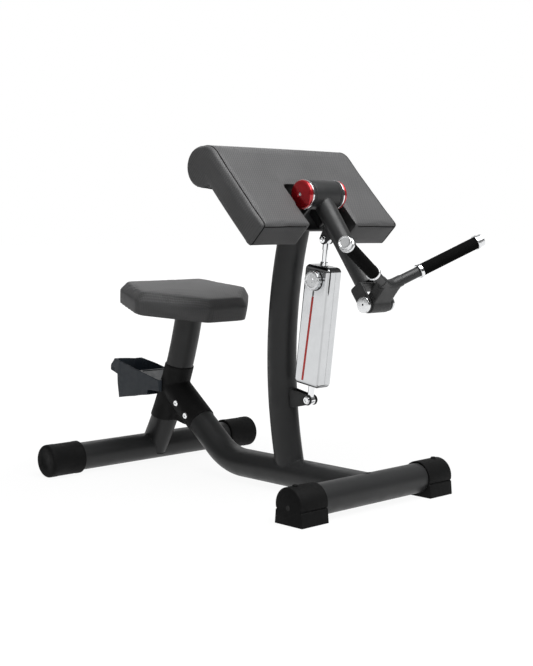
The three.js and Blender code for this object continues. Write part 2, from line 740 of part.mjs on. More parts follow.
// The top swells towards its middle and the walls pull in between the corners
function softenPad(cushion) {
  const position = cushion.attributes.position;
  for (let i = 0; i < position.count; i += 1) {
    const x = position.getX(i);
    const s = position.getY(i);
    const n = position.getZ(i);
    const across = 1 - (x / pad.halfLength) ** 2;
    const up = Math.sin(Math.PI * THREE.MathUtils.clamp(s / pad.rollCentre, 0, 1));
    const height = THREE.MathUtils.clamp(1 + n / pad.thickness, 0, 1);
    const waist = Math.sin(Math.PI * height);
    position.setZ(i, n + pad.crown * across * up * height);
    position.setY(i, s < pad.edge ? s + pad.drawIn * across * waist : s);
  }
}

function boltHole(sign, bottom, top) {
  const hole = pinZ(padBolt.shank + seam, bottom - overrun, top + overrun, shankSides);
  return hole.translate(sign * padBolt.reach, padBolt.along, 0);
}

function buildPadPlate() {
  const top = -plateDrop;
  const bottom = top - padPlate.thickness;
  const shape = roundedPlan(padPlate.halfLength, padPlate.start, padPlate.end, padPlate.edge);
  const holes = sides.map(({ sign }) => boltHole(sign, bottom, top));
  add(padGroup, 'pad_plate', cut(plateZ(shape, bottom, top), ...holes), 'paint');
  sides.forEach(({ label, sign }) => {
    const face = bottom - seam;
    const head = pinZ(padBolt.head, face - padBolt.headHeight, face, hexSides);
    const shank = pinZ(padBolt.shank, face - seam, face + padBolt.depth, shankSides);
    const bolt = join(head, shank).translate(sign * padBolt.reach, padBolt.along, 0);
    add(padGroup, `pad_bolt_${label}`, bolt, 'steel');
  });
}

// Yoke: two plates that stand on the pad plate inside the notch and carry the hub shaft
const hubCentre = at(0, hub.y, hub.z);
const plateInner = hub.halfLength + hub.plateGap;
const plateOuter = plateInner + hub.plate;
const ringOuter = plateOuter + seam + hub.ring;
const capOuter = ringOuter + seam + hub.capRim;

function buildYoke() {
  const centre = inPad(hubCentre);
  const footZ = -plateDrop + seam;
  const shape = new THREE.Shape();
  const footEnd = hub.plateFootStart + hub.plateFoot;
  shape.moveTo(hub.plateFootStart, footZ);
  shape.lineTo(footEnd, footZ);
  shape.lineTo(centre.x + hub.radius, centre.y);
  shape.absarc(centre.x, centre.y, hub.radius, 0, Math.PI, false);
  shape.closePath();
  const bore = pinX(hub.shaft + seam, -reach, reach, centre.x, centre.y);
  sides.forEach(({ label, sign }) => {
    const plate = cut(plateX(shape, plateInner, plateOuter), bore);
    add(padGroup, `yoke_plate_${label}`, mirroredX(plate, sign), 'paint');
  });
}

// Fixed shaft, trim rings and red end caps of the hub
function buildHubEnds() {
  const shaftEnd = ringOuter;
  add(machine, 'hub_shaft', pinX(hub.shaft, -shaftEnd, shaftEnd, hub.y, hub.z), 'steel');
  const ringStart = plateOuter + seam;
  const capStart = ringOuter + seam;
  const domePoints = [[0, capStart], [hub.radius, capStart], [hub.radius, capOuter]];
  for (let i = 1; i <= hub.domeSteps; i += 1) {
    const turn = ((i / hub.domeSteps) * Math.PI) / 2;
    domePoints.push([hub.radius * Math.cos(turn), capOuter + hub.capDome * Math.sin(turn)]);
  }
  domePoints[domePoints.length - 1][0] = 0;
  const domeTop = capOuter + hub.capDome;
  const screwHole = pinX(hub.capScrew + seam, domeTop - hub.capScrewHeight, domeTop + overrun);
  const screwFloor = domeTop - hub.capScrewHeight + seam;
  sides.forEach(({ label, sign }) => {
    const ring = turnedX(ringPoints(hub.radius + hub.ringOver, hub.shaft + seam, ringStart, ringOuter));
    add(machine, `trim_ring_${label}`, mirroredX(ring, sign).translate(0, hub.y, hub.z), 'chrome');
    const cap = cut(turnedX(domePoints), screwHole);
    add(machine, `hub_cap_${label}`, mirroredX(cap, sign).translate(0, hub.y, hub.z), 'red');
    const screw = pinX(hub.capScrew, screwFloor, screwFloor + hub.capScrewHeight);
    add(machine, `cap_screw_${label}`, mirroredX(screw, sign).translate(0, hub.y, hub.z), 'steel');
  });
}

// Curling arm, in a frame at the hub whose -Z runs down the arm and +Y behind it
const armGroup = new THREE.Group();
armGroup.position.copy(hubCentre);
armGroup.rotation.x = -arm.angle * degrees;
machine.add(armGroup);

const armRun = at(0, -Math.sin(arm.angle * degrees), -Math.cos(arm.angle * degrees));
const armBehind = at(0, Math.cos(arm.angle * degrees), -Math.sin(arm.angle * degrees));
const pivot = hubCentre.clone().addScaledVector(armRun, arm.length);
const lugFoot = hubCentre.clone().addScaledVector(armRun, arm.lugAlong);
const lugPivot = lugFoot.clone().addScaledVector(armBehind, arm.lugBehind);
const cheekInner = handle.hubHalf + arm.hubGap;
const cheekOuter = cheekInner + arm.cheek;

function buildArm() {
  const half = hub.halfLength;
  add(armGroup, 'hub_tube', turnedX(ringPoints(hub.radius, hub.bore, -half, half)), 'paint');
  const bush = turnedX(ringPoints(hub.bore - seam, hub.shaft + seam, -half, half));
  add(armGroup, 'hub_bush', bush, 'bronze');

  const tubeEnd = -(arm.length - arm.forkStart) + seam;
  const tube = straightTube(arm.radius, arm.wall, at(0, 0, 0), at(0, 0, tubeEnd));
  const hubSaddle = pinX(hub.radius + seam, -reach, reach, 0, 0, tubeSides);
  const aboveHub = box([-reach, -reach, 0], [reach, reach, reach]);
  add(armGroup, 'arm_tube', cut(tube, hubSaddle, aboveHub), 'paint');
  buildFork();
  buildArmLug();
}

// Fork: a bridge across the arm's end and two cheeks down to the handle pivot
function buildFork() {
  const half = arm.forkWidth / 2;
  const top = arm.forkStart - arm.length;
  const corner = arm.forkCorner;
  const shape = new THREE.Shape();
  shape.moveTo(half - corner, top);
  shape.lineTo(corner - half, top);
  shape.quadraticCurveTo(-half, top, -half, top - corner);
  shape.absarc(0, -arm.length, half, Math.PI, 2 * Math.PI, false);
  shape.lineTo(half, top - corner);
  shape.quadraticCurveTo(half, top, half - corner, top);
  const block = plateX(shape, -cheekOuter, cheekOuter);
  const [sideways, lowest] = [half + overrun, -arm.length - half - overrun];
  const slot = box([-cheekInner, -sideways, lowest], [cheekInner, sideways, top - arm.forkPlate]);
  const bore = pinX(handle.shaft + seam, -reach, reach, 0, -arm.length);
  add(armGroup, 'arm_fork', cut(block, slot, bore), 'paint');

  const inner = cheekOuter + seam;
  const outer = inner + handle.capHeight;
  const shaft = pinX(handle.shaft, -inner - seam, inner - seam * 2, 0, -arm.length);
  const head = capDisc(inner, outer);
  add(armGroup, 'pivot_shaft', join(shaft, mirroredX(head, -1)), 'chrome');
  add(armGroup, 'pivot_cap', head, 'chrome');
}

function capDisc(inner, outer) {
  const disc = turnedX([[0, inner], [handle.capRadius, inner], [handle.capRadius, outer - handle.capEdge],
    [handle.capRadius - handle.capEdge, outer], [0, outer]]);
  return disc.translate(0, 0, -arm.length);
}

// Lug behind the arm for the damper's upper eye
const armLugInner = damper.eyeHalf + arm.lugGap;

function buildArmLug() {
  const outer = armLugInner + arm.lugPlate;
  const shape = new THREE.Shape();
  const halfFoot = arm.lugFoot / 2;
  shape.moveTo(0, -arm.lugAlong + halfFoot + arm.lugRadius);
  shape.lineTo(0, -arm.lugAlong - halfFoot);
  const [arcStart, arcEnd] = [arm.lugArcStart * degrees, arm.lugArcEnd * degrees];
  shape.absarc(arm.lugBehind, -arm.lugAlong, arm.lugRadius, arcStart, arcEnd, false);
  shape.closePath();
  const cheeks = plateX(shape, -outer, outer);
  const armBody = pinZ(arm.radius + seam, -arm.length, 0, tubeSides);
  const hole = pinX(damper.boltRadius + seam, -reach, reach, arm.lugBehind, -arm.lugAlong);
  sides.forEach(({ label, sign }) => {
    const keep = box([armLugInner, -reach, -reach], [reach, reach, reach]);
    const cheek = common(cut(cheeks, armBody, hole), keep);
    add(armGroup, `arm_lug_${label}`, mirroredX(cheek, sign), 'paint');
  });
  const face = outer + seam;
  const head = pinX(boltHead.radius, -face - boltHead.height, -face, arm.lugBehind, -arm.lugAlong);
  const shank = pinX(damper.boltRadius, -face - seam, outer, arm.lugBehind, -arm.lugAlong);
  add(armGroup, 'lug_bolt', join(head, shank), 'chrome');
}

// Handle, in a frame at the lower pivot whose +Z runs to the bar
const handleGroup = new THREE.Group();
handleGroup.position.copy(pivot);
handleGroup.rotation.x = handle.tilt * degrees;
machine.add(handleGroup);

const spread = handle.spread * degrees;
const limb = new THREE.Vector3(Math.cos(spread), 0, Math.sin(spread));
const barArc = handle.bendRadius * spread;
const barLow = handle.apex + handle.bendRadius * (1 / Math.cos(spread) - 1);
const arcRise = handle.bendRadius * (1 - Math.cos(spread));
const bendStop = at(handle.bendRadius * Math.sin(spread), 0, barLow + arcRise);
const ringEnd = handle.ringStart + handle.ringLength;
const gripStart = ringEnd + seam;
const gripEnd = gripStart + handle.gripLength;
const barEnd = gripEnd + seam;

function alongLimb(distance) {
  return bendStop.clone().addScaledVector(limb, distance - barArc);
}

function barPoint(along) {
  const side = Math.sign(along) || 1;
  const distance = Math.abs(along);
  if (distance <= barArc) {
    const turn = distance / handle.bendRadius;
    const rise = handle.bendRadius * (1 - Math.cos(turn));
    return at(side * handle.bendRadius * Math.sin(turn), 0, barLow + rise);
  }
  const point = alongLimb(distance);
  return at(side * point.x, 0, point.z);
}

const barStops = [-barEnd, ...stopsBetween(-barArc, barArc, handle.bendSteps), barEnd];
const barPath = new SteppedPath(barStops, barPoint);

// Turns a piece made along +Z onto one limb of the bar
function onLimb(geometry, sign) {
  const turned = geometry.clone().rotateY(Math.PI / 2 - spread);
  const start = alongLimb(0);
  return mirroredX(turned.translate(start.x, 0, start.z), sign);
}

function buildHandle() {
  const half = handle.hubHalf;
  const hubRing = turnedX(ringPoints(handle.hubRadius, handle.shaft + seam, -half, half));
  const neckShape = new THREE.Shape(vectors([
    [-handle.neckHalf, 0], [handle.neckHalf, 0],
    [handle.neckTopHalf, barLow], [-handle.neckTopHalf, barLow]]));
  const neck = plateZ(neckShape, -handle.neckThickness / 2, handle.neckThickness / 2).rotateX(Math.PI / 2);
  const barBody = sweptTube(barPath, handle.barRadius + seam, 0);
  const shaftBore = pinX(handle.shaft + seam, -reach, reach);
  const barTop = box([-reach, -reach, barLow], [reach, reach, reach]);
  add(handleGroup, 'handle_hub', cut(join(hubRing, cut(neck, shaftBore)), barBody, barTop), 'paint');
  const bar = sweptTube(barPath, handle.barRadius, handle.barWall);
  add(handleGroup, 'handle_bar', bar, 'paint');
  const bore = handle.barRadius + seam;
  const ring = turnedZ(chamferedRing(handle.ringRadius, bore, handle.ringStart, ringEnd));
  const grip = turnedZ(chamferedRing(handle.gripRadius, bore, gripStart, gripEnd));
  const capStart = barEnd + seam;
  const rimEnd = capStart + handle.endCapRim;
  const tipEnd = rimEnd + handle.endCapTip;
  const endCap = turnedZ([
    [0, capStart], [handle.endCapRadius, capStart], [handle.endCapRadius, rimEnd - handle.endEdge],
    [handle.endCapRadius - handle.endEdge, rimEnd], [handle.endCapTipRadius, rimEnd],
    [handle.endCapTipRadius, tipEnd - handle.endEdge],
    [handle.endCapTipRadius - handle.endEdge, tipEnd], [0, tipEnd]]);
  sides.forEach(({ label, sign }) => {
    add(handleGroup, `inner_ring_${label}`, onLimb(ring, sign), 'chrome');
    add(handleGroup, `grip_${label}`, onLimb(grip, sign), 'foam');
    add(handleGroup, `end_cap_${label}`, onLimb(endCap, sign), 'chrome');
  });
}

function chamferedRing(outer, inner, from, to) {
  const edge = handle.endEdge;
  return [[inner, from], [outer - edge, from], [outer, from + edge], [outer, to - edge], [outer - edge, to],
    [inner, to], [inner, from]];
}

// Damper, in a frame at the upper eye whose -Z runs to the foot
const damperRun = footPivot.clone().sub(lugPivot);
const damperLength = damperRun.length();
const damperGroup = new THREE.Group();
damperGroup.position.copy(lugPivot);
damperGroup.rotation.x = Math.atan2(damperRun.y, -damperRun.z);
machine.add(damperGroup);

const casingTop = -damper.casingStart;
const casingBottom = casingTop - damper.casingLength;
const cylinderTop = casingTop - damper.casingWall - damper.cylinderTopGap;
const cylinderBottom = casingBottom + damper.casingWall + damper.cylinderFootGap;
const boreFloor = cylinderBottom + damper.cylinderFloor;

function buildRod() {
  const eye = pinX(damper.eyeRadius, -damper.eyeHalf, damper.eyeHalf, 0, 0, tubeSides);
  const neck = pinZ(damper.eyeNeckRadius, -damper.eyeNeckEnd, 0);
  const hole = pinX(damper.boltRadius + seam, -reach, reach);
  add(damperGroup, 'rod_eye', cut(join(eye, neck), hole), 'chrome');
  const pistonBottom = boreFloor + damper.pistonFootGap;
  const piston = damper.cylinderBore - seam;
  const profile = [[0, pistonBottom], [piston, pistonBottom], [piston, pistonBottom + damper.pistonHeight],
    [damper.rodRadius, pistonBottom + damper.pistonHeight], [damper.rodRadius, -damper.eyeNeckEnd - seam],
    [0, -damper.eyeNeckEnd - seam]];
  add(damperGroup, 'damper_rod', turnedZ(profile, smallSides), 'chrome');
}

function buildCylinder() {
  const outer = damper.cylinderRadius;
  const bore = damper.cylinderBore;
  const tube = turnedZ([
    [0, cylinderBottom], [outer, cylinderBottom], [outer, cylinderTop],
    [bore, cylinderTop], [bore, boreFloor], [0, boreFloor]], tubeSides);
  const neck = pinZ(damper.footNeck, -damperLength, cylinderBottom + overrun);
  const eye = pinX(damper.eyeRadius, -damper.eyeHalf, damper.eyeHalf, 0, -damperLength, tubeSides);
  const hole = pinX(damper.boltRadius + seam, -reach, reach, 0, -damperLength);
  add(damperGroup, 'damper_cylinder', cut(join(tube, neck, eye), hole), 'steel');
  const collarTop = casingTop + damper.collarHeight;
  const bodyTop = cylinderTop;
  const bodyBottom = bodyTop - damper.glandDepth;
  const glandBore = damper.rodRadius + seam;
  const gland = turnedZ([
    [glandBore, bodyBottom], [bore - seam, bodyBottom], [bore - seam, bodyTop],
    [damper.collarRadius, bodyTop], [damper.collarRadius, collarTop],
    [glandBore, collarTop], [glandBore, bodyBottom]]);
  add(damperGroup, 'damper_gland', gland, 'chrome');
}

// Casing: two chromed half shells with rounded edges
function casingBody(inset) {
  const halfX = damper.casingWidth / 2 - inset;
  const halfY = damper.casingDepth / 2 - inset;
  const corners = vectors([[-halfX, -halfY], [halfX, -halfY], [halfX, halfY], [-halfX, halfY]]);
  const outline = outlinePoints(roundedPolygon(corners, damper.casingCorner - inset / 2), 5);
  const edge = damper.casingEdge;
  const ends = casingEdgeShares.map(([drop, draw]) => ({ drop: drop * edge, draw: draw * edge }));
  const low = ends.map(({ drop, draw }) => ({ z: casingBottom + inset + drop, draw }));
  const high = ends.map(({ drop, draw }) => ({ z: casingTop - inset - drop, draw })).reverse();
  const layers = [...low, ...high];
  const outlines = layers.map(({ draw }) => insetOutline(outline, draw));
  return skinned(outlines, (point, k) => [point.x, point.y, layers[k].z]);
}

function buildCasing() {
  const middle = (casingTop + casingBottom) / 2;
  const topHole = pinZ(damper.collarRadius + seam, middle, casingTop + reach);
  const footHole = pinZ(damper.footNeck + seam, casingBottom - reach, middle);
  const knobHole = pinX(knob.stem + seam, -reach, 0, 0, casingTop - knob.drop);
  const shell = cut(casingBody(0), casingBody(damper.casingWall), topHole, footHole, knobHole);
  sides.forEach(({ label, sign }) => {
    const keep = box([seam / 2, -reach, casingBottom - reach], [reach, reach, reach]);
    add(damperGroup, `casing_${label}`, common(shell, mirroredX(keep, sign)), 'casing');
  });
}

// Knob: a fluted disc on a stem through the casing's left side
function buildKnob() {
  const face = -damper.casingWidth / 2 - seam;
  const points = [];
  const samples = knob.flutes * 4;
  for (let i = 0; i < samples; i += 1) {
    const turn = (i / samples) * 2 * Math.PI;
    const radius = knob.radius - knob.fluteDepth * (0.5 - 0.5 * Math.cos(knob.flutes * turn));
    points.push(new THREE.Vector2(radius * Math.cos(turn), radius * Math.sin(turn)));
  }
  const disc = plateX(new THREE.Shape(points), face - knob.height, face);
  const stem = pinX(knob.stem, face - seam, face + knob.stemDepth);
  const body = join(disc, stem).translate(0, 0, casingTop - knob.drop);
  add(damperGroup, 'resistance_knob', body, 'chrome');
}

// Seat: a bevelled saddle on a board, a steel plate and two bolts
const seatGroup = new THREE.Group();
seatGroup.position.set(0, seat.y, seat.z);
seatGroup.rotation.x = seatPitch;
machine.add(seatGroup);

// The saddle's outline, with every point moved out from the middle by about the same distance
function seatOutline(outset) {
  const corners = vectors([
    [-seat.rearHalf, seat.rearReach], [-seat.wideHalf, 0], [-seat.frontHalf, -seat.frontReach],
    [seat.frontHalf, -seat.frontReach], [seat.wideHalf, 0], [seat.rearHalf, seat.rearReach]]);
  const outline = outlinePoints(roundedPolygon(corners, seat.corner), 4);
  return outline.map((point) => point.multiplyScalar(1 + (outset * seat.cornerGrowth) / point.length()));
}

function buildSeat() {
  const bottom = -seat.thickness;
  const layers = [
    { z: bottom, outset: seat.bevelOut - seat.drawIn },
    { z: (bottom - seat.bevelDrop) / 2, outset: seat.bevelOut - seat.drawIn / 2 },
    { z: -seat.bevelDrop, outset: seat.bevelOut },
    { z: 0, outset: 0 },
    { z: seat.crown * seatCrownShares[0][0], outset: -seat.frontHalf * seatCrownShares[0][1] },
    { z: seat.crown * seatCrownShares[1][0], outset: -seat.frontHalf * seatCrownShares[1][1] },
  ];
  const outlines = layers.map(({ outset }) => seatOutline(outset));
  const cushion = skinned(outlines, (point, k) => [point.x, point.y, layers[k].z]);
  const boardTop = bottom + seatBoard.thickness;
  const pocket = seatBoardBlank(seam, bottom - overrun, boardTop + seam);
  add(seatGroup, 'seat_pad', cut(cushion, pocket), 'vinyl');

  const plateTop = bottom - seam;
  const plateBottom = plateTop - seatPlate.thickness;
  const holes = sides.map(({ sign }) => seatBoltHole(sign, plateBottom, boardTop));
  add(seatGroup, 'seat_board', cut(seatBoardBlank(0, bottom, boardTop), ...holes), 'plywood');
  const { halfWidth, halfLength, corner } = seatPlate;
  const plateShape = roundedPlan(halfWidth, -halfLength, halfLength, corner);
  add(seatGroup, 'seat_plate', cut(plateZ(plateShape, plateBottom, plateTop), ...holes), 'paint');
  sides.forEach(({ label, sign }) => {
    const face = plateBottom - seam;
    const head = pinZ(seatBolt.head, face - seatBolt.headHeight, face, hexSides);
    const shank = pinZ(seatBolt.shank, face - seam, face + seatBolt.depth, shankSides);
    add(seatGroup, `seat_bolt_${label}`, join(head, shank).translate(sign * seatBolt.reach, 0, 0), 'steel');
  });
}

// The board's blank, grown by a margin for the pocket that it lies in
function seatBoardBlank(margin, bottom, top) {
  const outline = seatOutline(seat.bevelOut - seat.drawIn - seatBoard.inset + margin);
  return plateZ(new THREE.Shape(outline), bottom, top);
}

function seatBoltHole(sign, bottom, top) {
  const hole = pinZ(seatBolt.shank + seam, bottom - overrun, top + overrun, shankSides);
  return hole.translate(sign * seatBolt.reach, 0, 0);
}

// Tray: an open bin with a sloping rim, a flared rear lip and a slotted shelf at its front
function buildTray() {
  const outer = traySolid(0, 0);
  const inner = traySolid(tray.wall, tray.wall);
  const slopeShare = (tray.rimRearZ - tray.rimFrontZ) / (tray.rearY - tray.frontY);
  const rimSlope = Math.atan(slopeShare);
  const rimUp = at(0, -Math.sin(rimSlope), Math.cos(rimSlope));
  const above = blockAbove(at(0, tray.frontY, tray.rimFrontZ), rimUp);
  const shelfTop = tray.rimFrontZ - tray.shelfDrop;
  const [shelfBack, shelfFall] = [tray.shelfLength * slopeShare, overrun * slopeShare];
  const shelfShape = new THREE.Shape(vectors([
    [tray.frontY - overrun, shelfTop - shelfFall],
    [tray.frontY + tray.shelfLength, shelfTop + shelfBack],
    [tray.frontY + tray.shelfLength, shelfTop - tray.wall + shelfBack],
    [tray.frontY - overrun, shelfTop - tray.wall - shelfFall]]));
  const shelf = plateX(shelfShape, -reach, reach);
  const slotEnd = tray.frontY + tray.shelfLength - tray.slotInset;
  const slot = box([-tray.slotWidth / 2, slotEnd - tray.slotLength, tray.rimFrontZ - tray.wall],
    [tray.slotWidth / 2, slotEnd, tray.rimRearZ]);
  const coverRadius = frameTube.radius + seam + cover.wall + seam;
  const coverBore = sweptTube(postPath, coverRadius, 0);
  const saddle = sweptTube(postPath, coverRadius + tray.wall, 0);
  const cavity = cut(inner, shelf, saddle);
  const body = join(cut(outer, above), trayLip(slopeShare));
  add(machine, 'tray', cut(body, cavity, slot, coverBore), 'plastic');
}

// The bin's body as a tapered block: floor narrower than the rim, stepped up at its front
function traySolid(inset, floorInset) {
  const half = tray.halfWidth - inset;
  const shape = new THREE.Shape();
  const stepY = tray.frontY + tray.stepLength;
  const front = tray.frontY + inset;
  const rear = tray.rearY - inset;
  shape.moveTo(front, tray.floorFrontZ + tray.stepRise + floorInset);
  shape.lineTo(stepY + inset, tray.floorFrontZ + tray.stepRise + floorInset);
  shape.lineTo(stepY + inset + tray.wall, tray.floorFrontZ + floorInset);
  shape.lineTo(rear - tray.draft, tray.floorRearZ + floorInset);
  shape.lineTo(rear, tray.rimRearZ + overrun * 2);
  shape.lineTo(front, tray.rimRearZ + overrun * 2);
  shape.closePath();
  return common(drafted(plateX(shape, -half, half)), trayPlan(half, front, rear, tray.corner - inset));
}

function trayPlan(half, front, rear, corner) {
  return plateZ(roundedPlan(half, front, rear, corner), 0, reach);
}

// Draws the sides of a piece of the tray in towards its floor
function drafted(block) {
  const position = block.attributes.position;
  const height = tray.rimRearZ - tray.floorRearZ;
  for (let i = 0; i < position.count; i += 1) {
    const share = THREE.MathUtils.clamp((tray.rimRearZ - position.getZ(i)) / height, 0, 1);
    position.setX(i, position.getX(i) * (1 - (share * tray.draft) / tray.halfWidth));
  }
  return block;
}

// The lip: a hood over the rear wall, with its sides flush with the bin's and open below
function trayLip(slopeShare) {
  const { rearY, rimRearZ, lipOut, lipDrop, lipTail, wall, corner, halfWidth } = tray;
  const start = rearY - corner;
  const tip = rimRearZ - lipDrop;
  const hoodShape = new THREE.Shape(vectors([
    [start, rimRearZ - corner * slopeShare], [rearY, rimRearZ], [rearY + lipOut, tip],
    [rearY + lipOut - wall, tip - wall], [start, tip - lipTail]]));
  const plan = trayPlan(halfWidth, start - corner, rearY + lipOut, corner);
  const hood = common(drafted(plateX(hoodShape, -halfWidth, halfWidth)), plan);
  const hollowShape = new THREE.Shape(vectors([
    [rearY, rimRearZ - wall - wall], [rearY + lipOut - wall, tip - wall],
    [rearY + lipOut, tip - wall - lipTail], [rearY, tip - lipTail - overrun]]));
  const hollowPlan = trayPlan(halfWidth - wall, start - corner, rearY + lipOut - wall, corner - wall);
  return cut(hood, common(drafted(plateX(hollowShape, -halfWidth, halfWidth)), hollowPlan));
}

buildFrontBase();
buildRearBase();
buildSpineAndPost();
buildCover();
buildColumn();
buildFootLug();
buildArmPad();
buildPadPlate();
buildYoke();
buildHubEnds();
buildArm();
buildHandle();
buildRod();
buildCylinder();
buildCasing();
buildKnob();
buildSeat();
buildTray();

// The origin lies on the floor under the middle of the machine's outer box
machine.updateMatrixWorld(true);
const outerBox = new THREE.Box3().setFromObject(machine, true);
const middle = outerBox.getCenter(new THREE.Vector3());
machine.position.set(-middle.x, -middle.y, -outerBox.min.z);

export default machine;
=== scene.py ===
# Looks of the biceps curl machine: cushions, smooth tubes, castings, finishes, floor, light and camera.
# Lengths are millimetres. X runs across the machine, +Y towards the seat, +Z up.
# Places along Y are measured from the front face of the front feet, as the model's own sizes are.

from math import asin, cos, exp, hypot, pi, radians, sin, sqrt
from types import SimpleNamespace as Sizes

import bmesh
import bpy
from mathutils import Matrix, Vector
from mathutils.bvhtree import BVHTree


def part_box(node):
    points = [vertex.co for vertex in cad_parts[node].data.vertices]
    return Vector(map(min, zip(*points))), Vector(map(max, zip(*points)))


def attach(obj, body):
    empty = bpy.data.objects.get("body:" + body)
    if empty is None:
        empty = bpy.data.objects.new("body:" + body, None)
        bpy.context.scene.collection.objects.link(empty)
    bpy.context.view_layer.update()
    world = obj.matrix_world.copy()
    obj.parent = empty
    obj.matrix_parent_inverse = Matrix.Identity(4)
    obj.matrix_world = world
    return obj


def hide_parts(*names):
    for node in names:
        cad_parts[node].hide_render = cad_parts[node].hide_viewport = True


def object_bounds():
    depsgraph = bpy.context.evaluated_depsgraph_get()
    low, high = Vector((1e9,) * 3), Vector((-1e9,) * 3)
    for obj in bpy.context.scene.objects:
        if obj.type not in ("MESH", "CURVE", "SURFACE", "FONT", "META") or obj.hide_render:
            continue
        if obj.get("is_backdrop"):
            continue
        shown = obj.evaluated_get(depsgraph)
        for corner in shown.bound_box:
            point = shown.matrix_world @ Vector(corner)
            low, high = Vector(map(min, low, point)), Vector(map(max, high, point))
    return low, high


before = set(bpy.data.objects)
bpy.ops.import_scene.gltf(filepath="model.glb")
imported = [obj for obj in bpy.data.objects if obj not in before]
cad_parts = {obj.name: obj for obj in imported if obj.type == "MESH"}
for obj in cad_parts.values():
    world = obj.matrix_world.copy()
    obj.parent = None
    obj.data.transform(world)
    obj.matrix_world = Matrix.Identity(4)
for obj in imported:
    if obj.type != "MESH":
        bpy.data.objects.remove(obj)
scene = bpy.context.scene
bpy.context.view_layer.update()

MM = 0.001
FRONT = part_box("front_foot_left")[0].y / MM
ACROSS = Vector((1, 0, 0))
ALONG = Vector((0, 1, 0))
UP = Vector((0, 0, 1))
LEFT_RIGHT = ((-1, "left"), (1, "right"))

# Rounding of round pieces, in sides of a full circle
TUBE_SIDES = 96
BAR_SIDES = 64
PIN_SIDES = 48
BEAD_SIDES = 8
THREAD_SIDES = 6

# Frame tubes and feet
TUBE = Sizes(radius=39, sink=0.8, bead=1.5, start=42, press=0.13, press_out=0.11, press_run=130)
FOOT = Sizes(
    width=91, depth=94, arch=44, block=34, draft=3, groove=5, groove_depth=4, axis=48,
    bump=7, bump_height=3, bump_inset=24, edge=3.5, lip=1.2, base_width=560)
REAR = Sizes(y=909, z=46, radius=46, length=108, edge=9, lip=1.5, width=767)
SPINE = Sizes(z=49, bend_y=505, bend=175, climb=radians(37.5))
POST = Sizes(radius=1330, y=704, z=756, bend=1, top=436)
COLUMN = Sizes(radius=1265, y=357, z=349, bend=-1, top=676)
COVER = Sizes(
    wall=3, low=141, low_rise=16, low_tilt=radians(14), high=300, high_tilt=radians(13),
    spine_start=96, web=20, web_corner=6, gap=0.3, voxel=2.2, screw=8.6, rim=11.2,
    screws=(125, 177))
COVER_WEB = ((822, 132), (786, 139), (738, 129), (704, 156), (796, 236))

# Arm pad frame: s runs up the slope from the front top edge, n out of the top face
PAD = Sizes(
    y=163.9, z=703.9, tilt=radians(46), half=250, seam_inset=12, notch_half=84, notch=144,
    plate_drop=79.3, plate=6, front_seam=9, valley=2.6, valley_depth=0.7, piping=1.4,
    middle=(150, -35), outside=400)
STITCH = Sizes(inset=4.5, spacing=4.5, length=3.2, radius=0.5)
SEAT = Sizes(y=711, z=521, pitch=radians(8.9), plate_drop=72.6)

# Hub of the curling arm, the arm and its handle
HUB = Sizes(
    y=221, z=781, radius=37, half=44, plate_in=44.6, plate_out=52.6, plate_foot=(66, 118),
    ring=4.5, cap_rim=4, cap_dome=9, screw=4.5, edge=2, gap=0.3)
ARM = Sizes(
    angle=radians(36), length=333, radius=25, fork_start=56, cheek_out=41, cap=20,
    cap_height=7, lug_along=107, lug_behind=44, lug=13, lug_in=9.2, lug_out=13.2)
HANDLE = Sizes(
    tilt=radians(39.4), hub=22, half=33, bar=13, apex=54, spread=radians(30.4),
    bend=45, neck_half=31, neck=29, ring_start=92, ring=9, ring_radius=18, grip=166,
    grip_radius=15.5, cap_radius=18, cap_rim=8, tip=13, tip_radius=15.5, edge=1.2, cast=1.7,
    cast_bar=14.6, cast_reach=42, gap=0.3)

# Damper: distances run from the upper eye towards the foot
DAMPER = Sizes(
    foot_ahead=103, foot_z=250.5, eye=12.5, eye_half=7, rod=7, rod_reach=250, neck=8.5,
    neck_end=27, casing=68, length=314, width=53, depth=88, corner=11, edge=13,
    collar=10, collar_height=10, knob=37, foot_neck=8.5, seam=0.3)
KNOB = Sizes(radius=25, height=15, flutes=12, flute=1.3, edge=2, face=17, hollow=1)
STRIPE = Sizes(half=3.5, proud=0.25, top_z=523, low_z=304.8, top_behind=3, low_behind=11, tail=24)

# Tray: its back end leans out, and its far rear corner is rounded
TRAY = Sizes(lean=12, rise=5, sag=6.5, start=0.45, corner=95)

# Floor, in metres, and the camera
FLOOR = Sizes(half=30, z=-0.0005)
CAMERA = Sizes(place=(-2293.6, -2010.5, 710.4), look=(0.6842, 0.7240, -0.0882), sensor=36, lens=67.36)


# Places and shapes

def spot(x, y, z):
    return Vector((x, y + FRONT, z))


def leaning(angle):
    """Up, leaned towards the front by an angle."""
    return Vector((0, -sin(angle), cos(angle)))


def rising(angle):
    """Towards the seat, raised by an angle."""
    return Vector((0, cos(angle), sin(angle)))


def arc_y(arc, z):
    return arc.y + arc.bend * (arc.radius - sqrt(arc.radius ** 2 - (z - arc.z) ** 2))


def arc_point(arc, z):
    return spot(0, arc_y(arc, z), z)


def arc_run(arc, z):
    slope = arc.bend * (z - arc.z) / sqrt(arc.radius ** 2 - (z - arc.z) ** 2)
    return Vector((0, slope, 1)).normalized()


def stops(start, end, count):
    return [start + (end - start) * i / count for i in range(count + 1)]


def turns(sides):
    return [2 * pi * i / sides for i in range(sides)]


